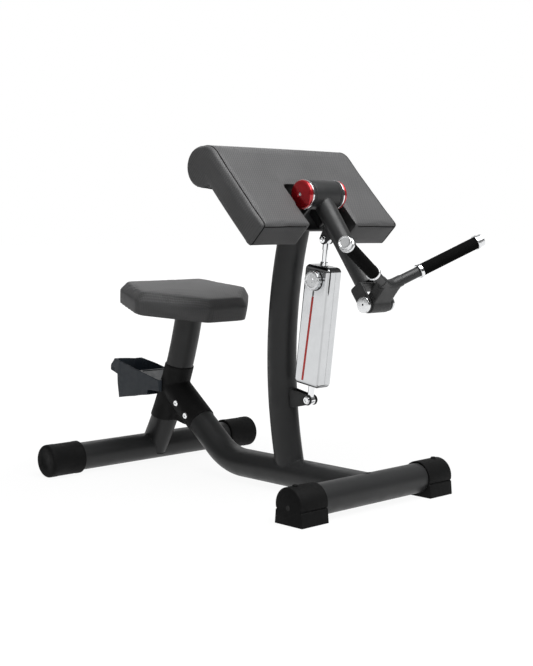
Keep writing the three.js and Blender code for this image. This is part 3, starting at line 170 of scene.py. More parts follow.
def soft(points, radius, steps=4, closed=False):
    """The points with each corner rounded by a short curve."""
    made = []
    count = len(points)
    for i, point in enumerate(points):
        corner = Vector(point)
        if not closed and i in (0, count - 1):
            made.append(corner)
            continue
        back, ahead = Vector(points[i - 1]) - corner, Vector(points[(i + 1) % count]) - corner
        cut = min(radius, back.length * 0.45, ahead.length * 0.45)
        start, end = corner + back.normalized() * cut, corner + ahead.normalized() * cut
        for t in stops(0, 1, steps):
            made.append(start * (1 - t) ** 2 + corner * 2 * t * (1 - t) + end * t ** 2)
    return made


def skinned(rings, capped=True):
    """A mesh's points and faces from rings that follow one another."""
    count = len(rings[0])
    verts = [v for ring in rings for v in ring]
    faces = []
    for start in range(0, len(verts) - count, count):
        for i in range(count):
            j = (i + 1) % count
            faces.append((start + i, start + j, start + count + j, start + count + i))
    if capped:
        faces.append(tuple(reversed(range(count))))
        faces.append(tuple(range(len(verts) - count, len(verts))))
    return verts, faces


def ring_of(centre, first, second, radius, sides):
    """A circle that starts in the first direction and turns towards the second."""
    return [centre + (first * cos(t) + second * sin(t)) * radius for t in turns(sides)]


def ring_about(point, run, flat, radius, sides):
    return ring_of(point, flat, run.cross(flat).normalized(), radius, sides)


def tube_rings(path, radius, flat, sides=TUBE_SIDES):
    rings = []
    for i, point in enumerate(path):
        run = (path[min(i + 1, len(path) - 1)] - path[max(i - 1, 0)]).normalized()
        rings.append(ring_about(point, run, flat, radius, sides))
    return rings


def block(inner, outer, low, high):
    """The profile of a plain turned piece."""
    return [(inner, low), (outer, low), (outer, high), (inner, high)]


def lathe(profile, centre, axis, sides=PIN_SIDES):
    """A turned piece from (radius, distance along the axis) points."""
    flat = UP if abs(axis.dot(UP)) < 0.9 else ACROSS
    first = flat.cross(axis).normalized()
    second = axis.cross(first)
    return skinned([ring_of(centre + axis * along, first, second, max(radius, 0.01), sides)
                    for radius, along in profile])


def prism(outline, place, low, high):
    return skinned([[place(u, v, w) for u, v in outline] for w in (low, high)])


def merged(*shapes):
    verts, faces = [], []
    for more, sides in shapes:
        start = len(verts)
        verts.extend(more)
        faces.extend(tuple(start + i for i in face) for face in sides)
    return verts, faces


def standing(origin, first, second, third=ACROSS):
    """Where a point of a prism stands, from its two places on the outline and its height."""
    return lambda u, v, w: origin + first * u + second * v + third * w


def hexagon(centre, radius, low, high):
    """A nut or bolt head that stands across the machine."""
    outline = [(radius * cos(t), radius * sin(t)) for t in turns(6)]
    return prism(outline, standing(centre, ALONG, UP), low, high)


# Pieces

def placed(name, data):
    piece = bpy.data.objects.new(name, data)
    scene.collection.objects.link(piece)
    return piece


def mesh_of(name, shape):
    mesh = bpy.data.meshes.new(name)
    mesh.from_pydata([Vector(v) * MM for v in shape[0]], [], shape[1])
    return mesh


def settle(piece, body, slot, material, stands_for=()):
    piece.data.materials.clear()
    piece.data.materials.append(material)
    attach(piece, body)
    if stands_for:
        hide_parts(*stands_for)
    return piece


def make(name, shape, body, slot, material, stands_for=(), crease=35, bevel=0.0):
    """A piece whose edges are sharp above the crease angle, or rounded by a bevel."""
    mesh = mesh_of(name, shape)
    edit = bmesh.new()
    edit.from_mesh(mesh)
    bmesh.ops.remove_doubles(edit, verts=edit.verts, dist=MM * 0.02)
    bmesh.ops.recalc_face_normals(edit, faces=edit.faces)
    edit.to_mesh(mesh)
    edit.free()
    piece = placed(name, mesh)
    mesh.shade_smooth()
    if bevel:
        rounding = piece.modifiers.new("edges", "BEVEL")
        rounding.width = bevel * MM
        rounding.segments = 3
        rounding.limit_method = "ANGLE"
        rounding.angle_limit = radians(crease)
        rounding.harden_normals = True
    else:
        mesh.set_sharp_from_angle(angle=radians(crease))
    return settle(piece, body, slot, material, stands_for)


def halved(name, mesh, gap, crease, body, slot, material, node):
    """The left and right halves of a mesh, split down the middle and closed."""
    for sign, label in LEFT_RIGHT:
        edit = bmesh.new()
        edit.from_mesh(mesh)
        bmesh.ops.recalc_face_normals(edit, faces=edit.faces)
        everything = edit.verts[:] + edit.edges[:] + edit.faces[:]
        cut = bmesh.ops.bisect_plane(
            edit, geom=everything, plane_co=ACROSS * sign * gap * MM, plane_no=ACROSS * -sign,
            clear_outer=True)
        edges = [e for e in cut["geom_cut"] if isinstance(e, bmesh.types.BMEdge)]
        bmesh.ops.holes_fill(edit, edges=edges)
        half = bpy.data.meshes.new(f"{name}_{label}")
        edit.to_mesh(half)
        edit.free()
        half.shade_smooth()
        half.set_sharp_from_angle(angle=radians(crease))
        settle(placed(f"{name}_{label}", half), body, slot, material, (f"{node}_{label}",))


def evaluated(piece):
    """The piece with its modifiers applied."""
    view = bpy.context.evaluated_depsgraph_get()
    mesh = bpy.data.meshes.new_from_object(piece.evaluated_get(view))
    piece.modifiers.clear()
    old = piece.data
    piece.data = mesh
    bpy.data.meshes.remove(old)
    return piece


def rounded_off(name, mesh, voxel, smoothing):
    """A piece with an even skin and every edge rounded."""
    piece = placed(name, mesh)
    grid = piece.modifiers.new("grid", "REMESH")
    grid.mode = "VOXEL"
    grid.voxel_size = voxel * MM
    relax = piece.modifiers.new("relax", "SMOOTH")
    relax.iterations = smoothing
    relax.factor = 0.5
    evaluated(piece)
    piece.data.shade_smooth()
    return piece


def solid_of(node):
    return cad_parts[node].data.copy()


def softened(name, node, body, slot, material, voxel, smoothing=2):
    """A casting or moulding: its solid with every edge rounded."""
    piece = rounded_off(name, solid_of(node), voxel, smoothing)
    return settle(piece, body, slot, material, (node,))


# Finishes

def fill(tree, node, inputs):
    """Gives a node's inputs plain values, or the outputs of other nodes."""
    for name, value in inputs.items():
        if isinstance(value, bpy.types.NodeSocket):
            tree.links.new(value, node.inputs[name])
        else:
            node.inputs[name].default_value = value
    return node


def added(tree, kind, inputs):
    return fill(tree, tree.nodes.new("ShaderNode" + kind), inputs)


def shader(name, colour, roughness, metallic=0.0, shine=0.5):
    material = bpy.data.materials.new(name)
    material.use_nodes = True
    tree = material.node_tree
    fill(tree, tree.nodes["Principled BSDF"], {
        "Base Color": (*colour, 1), "Roughness": roughness, "Metallic": metallic,
        "Specular IOR Level": shine})
    return material, tree


def coordinates(tree, kind="Object"):
    return tree.nodes.new("ShaderNodeTexCoord").outputs[kind]


def noise(tree, scale, detail):
    inputs = {"Scale": scale, "Detail": detail, "Vector": coordinates(tree)}
    return added(tree, "TexNoise", inputs).outputs["Fac"]


def ranged(tree, value, low, high, floor=0.3, ceiling=0.7):
    """The value, with the range from floor to ceiling turned into low to high."""
    inputs = {"From Min": floor, "From Max": ceiling, "To Min": low, "To Max": high, "Value": value}
    return added(tree, "MapRange", inputs).outputs["Result"]


def blended(tree, share, first, second):
    node = tree.nodes.new("ShaderNodeMix")
    node.data_type = "RGBA"
    first, second = [(*c, 1) if isinstance(c, tuple) else c for c in (first, second)]
    return fill(tree, node, {0: share, 6: first, 7: second}).outputs[2]


def maths(tree, operation, first, second=0):
    node = added(tree, "Math", {0: first, 1: second})
    node.operation = operation
    return node.outputs[0]


def plus(tree, first, second):
    return maths(tree, "ADD", first, second)


def times(tree, first, second):
    return maths(tree, "MULTIPLY", first, second)


def vector_maths(tree, operation, first, second=(0, 0, 0)):
    node = added(tree, "VectorMath", {0: first, 1: second})
    node.operation = operation
    return node.outputs["Vector" if operation == "SUBTRACT" else "Value"]


def toned(tree, value, colour, dark, light, floor=0.3, ceiling=0.7):
    """The colour between a darker and a lighter tone of itself."""
    tones = [tuple(c * share for c in colour) for share in (dark, light)]
    return blended(tree, ranged(tree, value, 0, 1, floor, ceiling), *tones)


def coated(material, shade, gloss, relief, strength, depth):
    """The material with its colour, roughness and relief joined up."""
    tree = material.node_tree
    bump = added(tree, "Bump", {"Height": relief, "Strength": strength, "Distance": depth * MM})
    fill(tree, tree.nodes["Principled BSDF"], {
        "Base Color": shade, "Roughness": gloss, "Normal": bump.outputs["Normal"]})
    return material


def grained(name, colour, roughness, metallic=0.0, grain=900, height=0.08, drift=6, spread=0.12, shine=0.5):
    """A finish with drifting colour, uneven gloss and a fine surface grain."""
    material, tree = shader(name, colour, roughness, metallic, shine)
    fine = noise(tree, grain, 2)
    both = plus(tree, times(tree, noise(tree, drift, 4), 0.6), times(tree, fine, 0.4))
    shade = toned(tree, both, colour, 1 - spread, 1 + spread)
    gloss = ranged(tree, noise(tree, drift * 7, 5), roughness - 0.06, roughness + 0.06)
    return coated(material, shade, gloss, fine, 0.6, height)


def upholstery(name, colour, origin, tilt, weave=6.8):
    """Grey vinyl with a fine woven emboss that runs square to the cushion and fades on its sides."""
    material, tree = shader(name, colour, 0.55, shine=0.3)
    turn = tree.nodes.new("ShaderNodeMapping")
    turn.vector_type = "TEXTURE"
    fill(tree, turn, {
        "Location": origin * MM, "Rotation": (tilt, 0, 0), "Scale": [weave * MM] * 3,
        "Vector": coordinates(tree)})
    split = added(tree, "SeparateXYZ", {0: turn.outputs[0]})
    waves = [maths(tree, "SINE", times(tree, split.outputs[i], 2 * pi)) for i in range(3)]
    sides = times(tree, plus(tree, waves[0], waves[1]), waves[2])
    weft = plus(tree, times(tree, waves[0], waves[1]), times(tree, sides, 0.2))
    facing = vector_maths(tree, "DOT_PRODUCT", coordinates(tree, "Normal"), leaning(tilt))
    depth = ranged(tree, maths(tree, "ABSOLUTE", facing), 0.4, 1.0, 0.3, 0.9)
    woven = times(tree, ranged(tree, weft, -0.5, 0.5, -1, 1), depth)
    relief = plus(tree, plus(tree, woven, 0.5), times(tree, noise(tree, 700, 3), 0.8))
    level = plus(tree, times(tree, relief, 0.5), times(tree, noise(tree, 7, 4), 0.5))
    shade = toned(tree, level, colour, 0.44, 1.44, 0.25, 0.95)
    return coated(material, shade, ranged(tree, relief, 0.62, 0.48, 0.2, 1.4), relief, 0.6, 0.3)


def polished(name, colour, roughness, smudge, dark, painted_reflection_of=None):
    """Chrome with faint smudges, and where asked for with a painted reflection that darkens its edges near
    black.
    """
    material, tree = shader(name, colour, roughness, 1.0)
    shade = toned(tree, noise(tree, 54, 2), colour, dark, 1)
    if painted_reflection_of:
        # Painted reflection: near black mixed into the colour along the edges
        shade = blended(tree, painted_reflection_of(tree), shade, (0.03, 0.03, 0.031))
    gloss = ranged(tree, noise(tree, 18, 5), roughness - smudge, roughness + smudge)
    return coated(material, shade, gloss, noise(tree, 320, 2), 0.15, 0.03)


def turned_metal(name, colour, roughness, axis, centre):
    """Metal with fine lathe rings about an axis."""
    material, tree = shader(name, colour, roughness, 1.0)
    offset = vector_maths(tree, "SUBTRACT", coordinates(tree), centre * MM)
    along = vector_maths(tree, "DOT_PRODUCT", offset, axis)
    length = vector_maths(tree, "LENGTH", offset)
    square = maths(tree, "SUBTRACT", maths(tree, "POWER", length, 2), maths(tree, "POWER", along, 2))
    radial = maths(tree, "SQRT", maths(tree, "MAXIMUM", square, 0))
    rings = maths(tree, "SINE", times(tree, plus(tree, radial, along), 5200))
    gloss = ranged(tree, noise(tree, 60, 4), roughness - 0.06, roughness + 0.06)
    return coated(material, toned(tree, rings, colour, 0.85, 1, -1, 1), gloss, rings, 0.25, 0.02)


def red_gloss(colour=(0.5, 0.012, 0.02)):
    material, tree = shader("red_cap_gloss", colour, 0.22, 0.6)
    fill(tree, tree.nodes["Principled BSDF"], {"Coat Weight": 0.6, "Coat Roughness": 0.08})
    shade = toned(tree, noise(tree, 25, 4), colour, 0.88, 1.08)
    gloss = ranged(tree, noise(tree, 90, 4), 0.2, 0.26)
    return coated(material, shade, gloss, noise(tree, 600, 2), 0.15, 0.03)


def grey(level):
    return (level, level, level)


paint = grained(
    "charcoal_powder_coat", (0.024, 0.0245, 0.025), 0.42, grain=1300, height=0.06, drift=5, spread=0.1,
    shine=0.32)
rubber = grained(
    "black_rubber", (0.0044, 0.0045, 0.0046), 0.68, grain=700, height=0.12, drift=14, spread=0.22, shine=0.14)
cover_plastic = grained(
    "black_cover_plastic", (0.005, 0.005, 0.0051), 0.6, grain=1000, drift=9, spread=0.15, shine=0.17)
grip_foam = grained(
    "black_grip_foam", grey(0.0026), 0.9, grain=420, height=0.35, drift=30, spread=0.3, shine=0.06)
tray_plastic = grained(
    "blue_grey_plastic", (0.022, 0.03, 0.04), 0.48, grain=1100, height=0.07, drift=10, spread=0.10, shine=0.3)
plywood = grained("stained_plywood", (0.014, 0.012, 0.01), 0.8, grain=260, height=0.2, drift=40, spread=0.35)
bronze = grained("bearing_bronze", (0.32, 0.2, 0.07), 0.4, 1.0, grain=500, height=0.04)
zinc = grained("zinc_plate", (0.45, 0.45, 0.44), 0.35, 1.0, grain=600, height=0.05)
thread = grained("dark_thread", grey(0.006), 0.8, grain=1500, height=0.1, shine=0.1)
# Near black painted shade for the walls of the arm pad's notch
notch_painted_shade = grained("black_notch_painted_shade", (0.009, 0.009, 0.0092), 0.45, height=0.1, drift=12, shine=0.35)
stripe_paint = grained("red_stripe", (0.6, 0.025, 0.018), 0.35, grain=800, height=0.02, spread=0.06)
tail_paint = grained("grey_stripe", grey(0.2), 0.4, grain=800, height=0.02, spread=0.06)
# Near black painted shade for recesses, sockets and the ring round the knob's foot
painted_shade = grained("shadowed_recess", grey(0.004), 0.8, grain=600, height=0.05)
chrome = polished("chrome", (0.84, 0.85, 0.86), 0.09, 0.05, 0.94)
red = red_gloss()
pad_origin = spot(0, PAD.y, PAD.z)
pad_vinyl = upholstery("grey_pad_vinyl", (0.077, 0.077, 0.078), pad_origin, PAD.tilt)
seat_origin = spot(0, SEAT.y, SEAT.z)
seat_vinyl = upholstery("grey_seat_vinyl", (0.07, 0.07, 0.071), seat_origin, SEAT.pitch)

# Slots with their usual finish
PAINTED = ("paint", paint)
BRIGHT = ("chrome", chrome)


# Joints between tubes: the end ring slides on to the other tube, and a weld bead covers the line

def from_line(point, run, radius):
    def distance(p):
        offset = p - point
        return (offset - run * offset.dot(run)).length - radius
    return distance


def landed(start, run, distance, limit):
    nearest, best = start, distance(start)
    travel = 0.0
    while travel < limit:
        travel += TUBE.sink / 2
        point = start + run * travel
        gap = distance(point)
        if gap < best:
            nearest, best = point, gap
        if gap < -TUBE.sink:
            return point
    return nearest


def bead(loop, centre, radius=TUBE.bead):
    """A weld bead along a closed loop of points on the skin of a tube."""
    rings = []
    for i, point in enumerate(loop):
        run = (loop[(i + 1) % len(loop)] - loop[i - 1]).normalized()
        out = (point - centre).normalized()
        out = (out - run * out.dot(run)).normalized()
        swell = radius * (1 + 0.12 * sin(i * 1.9))
        rings.append(ring_of(point, out, run.cross(out), swell, BEAD_SIDES))
    return skinned(rings + rings[:1], capped=False)


def pressed(rings, path):
    """The tube's lower end pressed a little oval, so that its saddle is less deep."""
    made = []
    for ring, point in zip(rings, path):
        share = max(1 - (point - path[0]).length / TUBE.press_run, 0) ** 0.5
        narrow, wide = 1 - TUBE.press * share, 1 + TUBE.press_out * share
        offsets = [v - point for v in ring]
        made.append([point + Vector((v.x * narrow, v.y * wide, v.z * wide)) for v in offsets])
    return made


def joined_tube(name, path, node, start_on, end_on=None, radius=TUBE.radius, body="frame", limit=60.0,
                press=False):
    """A tube whose ends stand on other pieces, with a weld bead round each."""
    rings = tube_rings(path, radius, ACROSS)
    if press:
        rings = pressed(rings, path)
    run = (path[0] - path[1]).normalized()
    rings[0] = [landed(v, run, start_on, limit) for v in rings[1]]
    beads = [bead(rings[0], path[0])]
    if end_on:
        run = (path[-1] - path[-2]).normalized()
        rings[-1] = [landed(v, run, end_on, limit) for v in rings[-2]]
        beads.append(bead(rings[-1], path[-1]))
    make(name, skinned(rings), body, *PAINTED, (node,))
    for label, shape in zip(("lower", "upper"), beads):
        make(f"{name}_weld_{label}", shape, body, *PAINTED, crease=60)


# Base tubes, spine, seat post and column
front_axis = spot(0, FOOT.depth / 2, FOOT.axis)
rear_axis = spot(0, REAR.y, REAR.z)
for label, axis in (("front", front_axis), ("rear", rear_axis)):
    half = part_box(f"{label}_base_tube")[1].x / MM
    shape = skinned(tube_rings([axis + ACROSS * x for x in (-half, 0, half)], TUBE.radius, UP))
    make(f"{label}_cross_tube", shape, "frame", *PAINTED, (f"{label}_base_tube",))


def bend_point(turn):
    return spot(0, SPINE.bend_y + SPINE.bend * sin(turn), SPINE.z + SPINE.bend * (1 - cos(turn)))


climb_run = rising(SPINE.climb)
bend_end = bend_point(SPINE.climb)
climb_length = 0.0
while (bend_end + climb_run * climb_length).y - FRONT < arc_y(POST, (bend_end + climb_run * climb_length).z):
    climb_length += TUBE.sink
spine_start = FOOT.depth / 2 + TUBE.radius
spine_path = [spot(0, y, SPINE.z) for y in (spine_start + 18, spine_start + 20, 300)]
spine_path += [bend_point(turn) for turn in stops(0, SPINE.climb, 28)]
spine_path += [bend_end + climb_run * run for run in stops(12, climb_length, 10)]
joined_tube("spine", spine_path, "spine_tube", from_line(front_axis, ACROSS, TUBE.radius))


def from_plane(point, normal):
    return lambda p: (point - p).dot(normal) + TUBE.sink


seat_up = leaning(SEAT.pitch)
post_path = [arc_point(POST, z) for z in stops(REAR.z + TUBE.start, POST.top, 40)]
joined_tube("post", post_path, "seat_post", from_line(rear_axis, ACROSS, TUBE.radius),
            from_plane(seat_origin - seat_up * SEAT.plate_drop, seat_up), press=True)
pad_up = leaning(PAD.tilt)
pad_run = rising(PAD.tilt)
column_path = [arc_point(COLUMN, z) for z in stops(SPINE.z + TUBE.start, COLUMN.top, 52)]
joined_tube("column_tube", column_path, "column", from_line(spot(0, 0, SPINE.z), ALONG, TUBE.radius),
            from_plane(pad_origin - pad_up * (PAD.plate_drop + PAD.plate), pad_up), limit=90.0, press=True)


# Rubber feet and the caps of the rear tube

def foot_outline(inset):
    half = FOOT.depth / 2 - inset
    top = FOOT.depth / 2 - FOOT.draft - inset
    waist = (top - FOOT.groove_depth, FOOT.block + FOOT.groove / 2)
    arch = FOOT.arch - inset
    start = asin((FOOT.block + FOOT.groove - FOOT.axis) / arch)
    curve = [(arch * cos(t), FOOT.axis + arch * sin(t)) for t in stops(start, pi - start, 48)]
    sole = [(-half, 0), (half, 0), (top, FOOT.block), waist]
    return sole + curve + [(-waist[0], waist[1]), (-top, FOOT.block)]


for sign, label in LEFT_RIGHT:
    outer = FOOT.base_width / 2
    inner = outer - FOOT.width
    rows = ((inner, 1.0), (inner + FOOT.lip, 0.0), (outer - FOOT.edge, 0.0), (outer - FOOT.edge * 0.35, 1.0),
            (outer, FOOT.edge))
    rings = [[spot(sign * x, FOOT.depth / 2 + u, v) for u, v in foot_outline(inset)] for x, inset in rows]
    node = f"front_foot_{label}"
    make(f"{node}_rubber", skinned(rings), "frame", "rubber", rubber, (node,), bevel=1.2)
    top = spot(sign * (outer - FOOT.bump_inset), FOOT.depth / 2, FOOT.axis + FOOT.arch)
    r, height = FOOT.bump, FOOT.bump_height
    button = [(r + 1, -3), (r, 0), (r, height - 1), (r - 1, height), (0, height)]
    make(f"{node}_button", lathe(button, top, UP), "frame", "rubber", rubber)
    face = spot(sign * (outer - 0.2), FOOT.depth / 2, FOOT.axis - 6)
    plug = [(6.5, -1), (6.5, 0.5), (5.2, 0.7), (4.6, 0.3), (0, 0.3)]
    # The plug's dished face takes the near black painted shade
    make(f"{node}_plug", lathe(plug, face, ACROSS * sign), "frame", "rubber", painted_shade)

    # Rear cap
    r, edge, outer = REAR.radius, REAR.edge, REAR.width / 2
    inner = outer - REAR.length
    profile = [(TUBE.radius + 0.1, inner), (r - REAR.lip, inner), (r, inner + REAR.lip), (r, inner + 12),
               (r - 0.6, inner + 14), (r - 0.6, outer - 30), (r, outer - 28)]
    profile += [(r - edge * (1 - cos(t)), outer - edge * (1 - sin(t))) for t in stops(0, pi / 2, 8)]
    profile += [(20, outer), (18.5, outer - 1), (0, outer - 1)]
    cap = lathe(profile, rear_axis, ACROSS * sign, TUBE_SIDES)
    make(f"rear_cap_{label}_rubber", cap, "frame", "rubber", rubber, (f"rear_cap_{label}",))


# Joint cover: collars and web grown into one smooth shell, split down the middle

radius = TUBE.radius + COVER.wall
heights = [COVER.low] + stops(COVER.low + COVER.low_rise, COVER.high - COVER.low_rise, 22) + [COVER.high]
rings = tube_rings([arc_point(POST, z) for z in heights], radius, ACROSS)
for place, height, tilt in ((0, COVER.low, COVER.low_tilt), (-1, COVER.high, COVER.high_tilt)):
    middle, run, normal = arc_point(POST, height), arc_run(POST, height), leaning(tilt)
    rings[place] = [v - run * ((v - middle).dot(normal) / run.dot(normal)) for v in rings[place]]
leg = tube_rings([bend_end + climb_run * d for d in (COVER.spine_start, climb_length)], radius, ACROSS)
corners = soft([Vector(p) for p in COVER_WEB], COVER.web_corner, closed=True)
web = prism(corners, lambda u, v, w: spot(w, u, v), -COVER.web, COVER.web)
whole = mesh_of("joint_cover", merged(skinned(rings), skinned(leg), web))
shell = rounded_off("joint_cover", whole, COVER.voxel, 3)
halved("joint_cover", shell.data, COVER.gap, 50, "frame", "cover_plastic", cover_plastic, "cover_shell")
bpy.data.objects.remove(shell)
r = COVER.rim
# Screw seats: near black discs of painted shade in the recesses round the screws
recess = [(r + 1, -6), (r, 0.8), (r - 1.6, 1.2), (r - 2.4, 0.6), (0, 0.6)]
r = COVER.screw
head = [(3, 0.4), (r, 0.4), (r, 1.6), (r * 0.85, 3), (r * 0.42, 3.2), (r * 0.4, 1.0), (0, 1.0)]
for along, label in zip(COVER.screws, ("lower", "upper")):
    centre = bend_end + climb_run * along
    for sign, side in LEFT_RIGHT:
        hollow = lathe(recess, centre + ACROSS * sign * (radius - 0.8), ACROSS * sign)
        make(f"cover_seat_{label}_{side}", hollow, "frame", "cover_plastic", painted_shade)
    screw = lathe(head, centre - ACROSS * (radius - 0.6), -ACROSS)
    make(f"cover_screw_{label}_head", screw, "frame", *BRIGHT, (f"cover_screw_{label}",))


# Cushions

def swollen(name, node, shrink, cap, pressure, voxel=4.0):
    """A cushion grown from its solid: remeshed, blown up as cloth, then smoothed."""
    piece = rounded_off(name, solid_of(node), voxel, 3)
    mesh = piece.data
    for vertex, normal in zip(mesh.vertices, [v.normal.copy() for v in mesh.vertices]):
        vertex.co -= normal * shrink * MM
    rest = [v.co.copy() for v in mesh.vertices]
    cloth = piece.modifiers.new("cloth", "CLOTH")
    settings = cloth.settings
    settings.quality = 5
    settings.mass = 0.3
    settings.tension_stiffness = 40
    settings.compression_stiffness = 40
    settings.shear_stiffness = 20
    settings.bending_stiffness = 4
    settings.use_pressure = True
    settings.uniform_pressure_force = pressure
    settings.effector_weights.gravity = 0
    cloth.collision_settings.use_collision = False
    for step in range(1, 21):
        scene.frame_set(step)
    evaluated(piece)
    mesh = piece.data
    scene.frame_set(1)
    for vertex, start in zip(mesh.vertices, rest):
        move = vertex.co - start
        if move.length > cap * MM:
            vertex.co = start + move.normalized() * cap * MM
    fine = piece.modifiers.new("fine", "SUBSURF")
    fine.levels = 1
    fine.render_levels = 1
    evaluated(piece)
    piece.data.shade_smooth()
    return piece


def in_pad(point):
    offset = point / MM - pad_origin
    return offset.x, offset.dot(pad_run), offset.dot(pad_up)


def press_valleys(mesh, distance_of):
    """Pulls the skin in along a seam."""
    for vertex, normal in zip(mesh.vertices, [v.normal.copy() for v in mesh.vertices]):
        gap = distance_of(vertex.co)
        if gap < PAD.valley * 3:
            vertex.co -= normal * PAD.valley_depth * MM * exp(-(gap / PAD.valley) ** 2)
    mesh.update()


def on_skin(tree, origin, direction):
    hit = tree.ray_cast(origin * MM, direction)
    return hit[0] / MM if hit[0] else None


def laid_thread(name, points, closed=False):
    """The piping of a seam, through the points that were found."""
    path = [p for p in points if p is not None]
    rings = []
    for i, point in enumerate(path):
        back = path[i - 1] if (i or closed) else point
        ahead = path[(i + 1) % len(path)] if (i + 1 < len(path) or closed) else point
        run = (ahead - back).normalized()
        side = run.cross(UP)
        side = side.normalized() if side.length > 0.1 else ACROSS.copy()
        rings.append(ring_of(point, side, run.cross(side), PAD.piping, THREAD_SIDES))
    if closed:
        rings.append(rings[0])
    make(name, skinned(rings, capped=not closed), "frame", "vinyl", thread, crease=80)


def stitches(name, path):
    """Short stitches that follow a line of points."""
    shapes = []
    travelled = 0.0
    for start, end in zip(path, path[1:]):
        travelled += (end - start).length
        if travelled < STITCH.spacing:
            continue
        travelled = 0.0
        run = (end - start).normalized()
        flat = ACROSS if abs(run.dot(ACROSS)) < 0.8 else UP
        flat = run.cross(flat).normalized().cross(run)
        shapes.append(skinned([
            ring_about(end + run * STITCH.length * along, run, flat, STITCH.radius * share, THREAD_SIDES)
            for along, share in ((-0.5, 0.3), (-0.3, 1.0), (0.3, 1.0), (0.5, 0.3))]))
    make(name, merged(*shapes), "frame", "vinyl", thread, crease=80)


# Arm pad: side seams and a front seam, with painted shade on the walls of the notch
seam_x = PAD.half - PAD.seam_inset


def seam_gap(point):
    """How far a point of the arm pad is from its nearest seam."""
    x, s, n = in_pad(point)
    gap = abs(abs(x) - seam_x)
    if s < PAD.front_seam and abs(x) < seam_x:
        gap = min(gap, hypot(s, n + PAD.front_seam))
    return gap


pad = swollen("arm_pad_cushion", "arm_pad", shrink=1.0, cap=2.2, pressure=1.6)
press_valleys(pad.data, seam_gap)
settle(pad, "frame", "vinyl", pad_vinyl, ("arm_pad",))
# The notch's side walls and end take painted shade in place of the grey vinyl
pad.data.materials.append(notch_painted_shade)
for face in pad.data.polygons:
    x, s, n = in_pad(face.center)
    walls = abs(x) < PAD.notch_half + 4 and face.normal.x * x < 0 and abs(face.normal.x) > 0.75
    end = abs(x) < PAD.notch_half and s > PAD.notch - 4 and face.normal.dot(pad_run) < -0.75 and n < 0
    face.material_index = int(s < PAD.notch + 6 and (walls or end))
skin = BVHTree.FromObject(pad, bpy.context.evaluated_depsgraph_get())
for sign, label in LEFT_RIGHT:
    centre = pad_origin + pad_run * PAD.middle[0] + pad_up * PAD.middle[1] + ACROSS * sign * seam_x
    loop = []
    for turn in turns(360):
        out = (pad_run * cos(turn) * 2.2 + pad_up * sin(turn)).normalized()
        loop.append(on_skin(skin, centre + out * PAD.outside, -out))
    laid_thread(f"pad_seam_{label}", loop, closed=True)
    stitches(f"pad_stitches_{label}", [p - ACROSS * sign * STITCH.inset for p in loop if p is not None])
    start = pad_origin - pad_run * 60 - pad_up * PAD.front_seam
    edge = [on_skin(skin, start + ACROSS * x, pad_run)
            for x in stops(seam_x * sign, (PAD.notch_half + 12) * sign, 80)]
    laid_thread(f"pad_front_seam_{label}", edge)


# Seat cushion
seat = swollen("seat_cushion", "seat_pad", shrink=0.8, cap=1.6, pressure=1.2)
settle(seat, "frame", "vinyl", seat_vinyl, ("seat_pad",))


# Hub of the arm: painted barrel, bright rings, red caps

hub_centre = spot(0, HUB.y, HUB.z)
arm_run = Vector((0, -sin(ARM.angle), -cos(ARM.angle)))
arm_behind = Vector((0, cos(ARM.angle), -sin(ARM.angle)))
pivot = hub_centre + arm_run * ARM.length
lug_pivot = hub_centre + arm_run * ARM.lug_along + arm_behind * ARM.lug_behind


r, half = HUB.radius, HUB.half
barrel = soft(block(r - 8, r, -half, half), HUB.edge)
make("arm_hub_barrel", lathe(barrel, hub_centre, ACROSS, TUBE_SIDES), "arm", *PAINTED, ("hub_tube",))
for sign, label in LEFT_RIGHT:
    start = HUB.plate_out + HUB.gap
    ring = soft(block(16, r + 0.5, start, start + HUB.ring), 1.0)
    make(f"hub_ring_{label}", lathe(ring, hub_centre, ACROSS * sign, TUBE_SIDES), "frame", *BRIGHT,
         (f"trim_ring_{label}",))
    base = start + HUB.ring + HUB.gap
    rim = base + HUB.cap_rim
    dome = [(0, base), (r - 1, base), (r, base + 1), (r, rim)]
    dome += [(r * (1 - 0.28 * share ** 2.2), rim + HUB.cap_dome * 0.62 * sin(share * pi / 2))
             for share in stops(0.12, 1, 8)]
    dome += [(radius, rim + HUB.cap_dome * share) for radius, share in (
        (r * 0.55, 0.8), (r * 0.25, 0.92), (HUB.screw + 2, 0.94), (HUB.screw + 1, 0.75), (0, 0.75))]
    make(f"red_cap_{label}", lathe(dome, hub_centre, ACROSS * sign, TUBE_SIDES), "frame", "red_cap", red,
         (f"hub_cap_{label}",), crease=45)
    top = dome[-1][1]
    head = HUB.screw
    screw = [(0, top - 1), (head, top - 1), (head, top + 1.2), (head - 0.8, top + 1.8),
             (head * 0.5, top + 1.8), (head * 0.45, top + 0.4), (0, top + 0.4)]
    make(f"red_cap_screw_{label}", lathe(screw, hub_centre, ACROSS * sign), "frame", "steel", chrome,
         (f"cap_screw_{label}",))


# Arm tube, its fork and the caps of the fork's pivot
tube_end = hub_centre + arm_run * (ARM.length - ARM.fork_start - 0.2)
path = [hub_centre + arm_run * d for d in (58, 60, 120, 200)] + [tube_end]
joined_tube("curling_arm", path, "arm_tube", from_line(hub_centre, ACROSS, HUB.radius), radius=ARM.radius,
            body="arm")
softened("arm_fork_casting", "arm_fork", "arm", *PAINTED, voxel=1.4)
loop = ring_about(tube_end - arm_run * 0.5, arm_run, ACROSS, ARM.radius, TUBE_SIDES)
make("arm_fork_weld", bead(loop, tube_end, 2.2), "arm", *PAINTED, crease=60)
disc = turned_metal("turned_pivot_cap", (0.8, 0.81, 0.82), 0.2, ACROSS, pivot)
start = ARM.cheek_out + 0.3
face = start + ARM.cap_height
cap = soft([(ARM.cap, start), (ARM.cap, face), (2.8, face)], 2.2)
cap = [(0, start)] + cap + [(2.2, face - 2), (0, face - 2)]
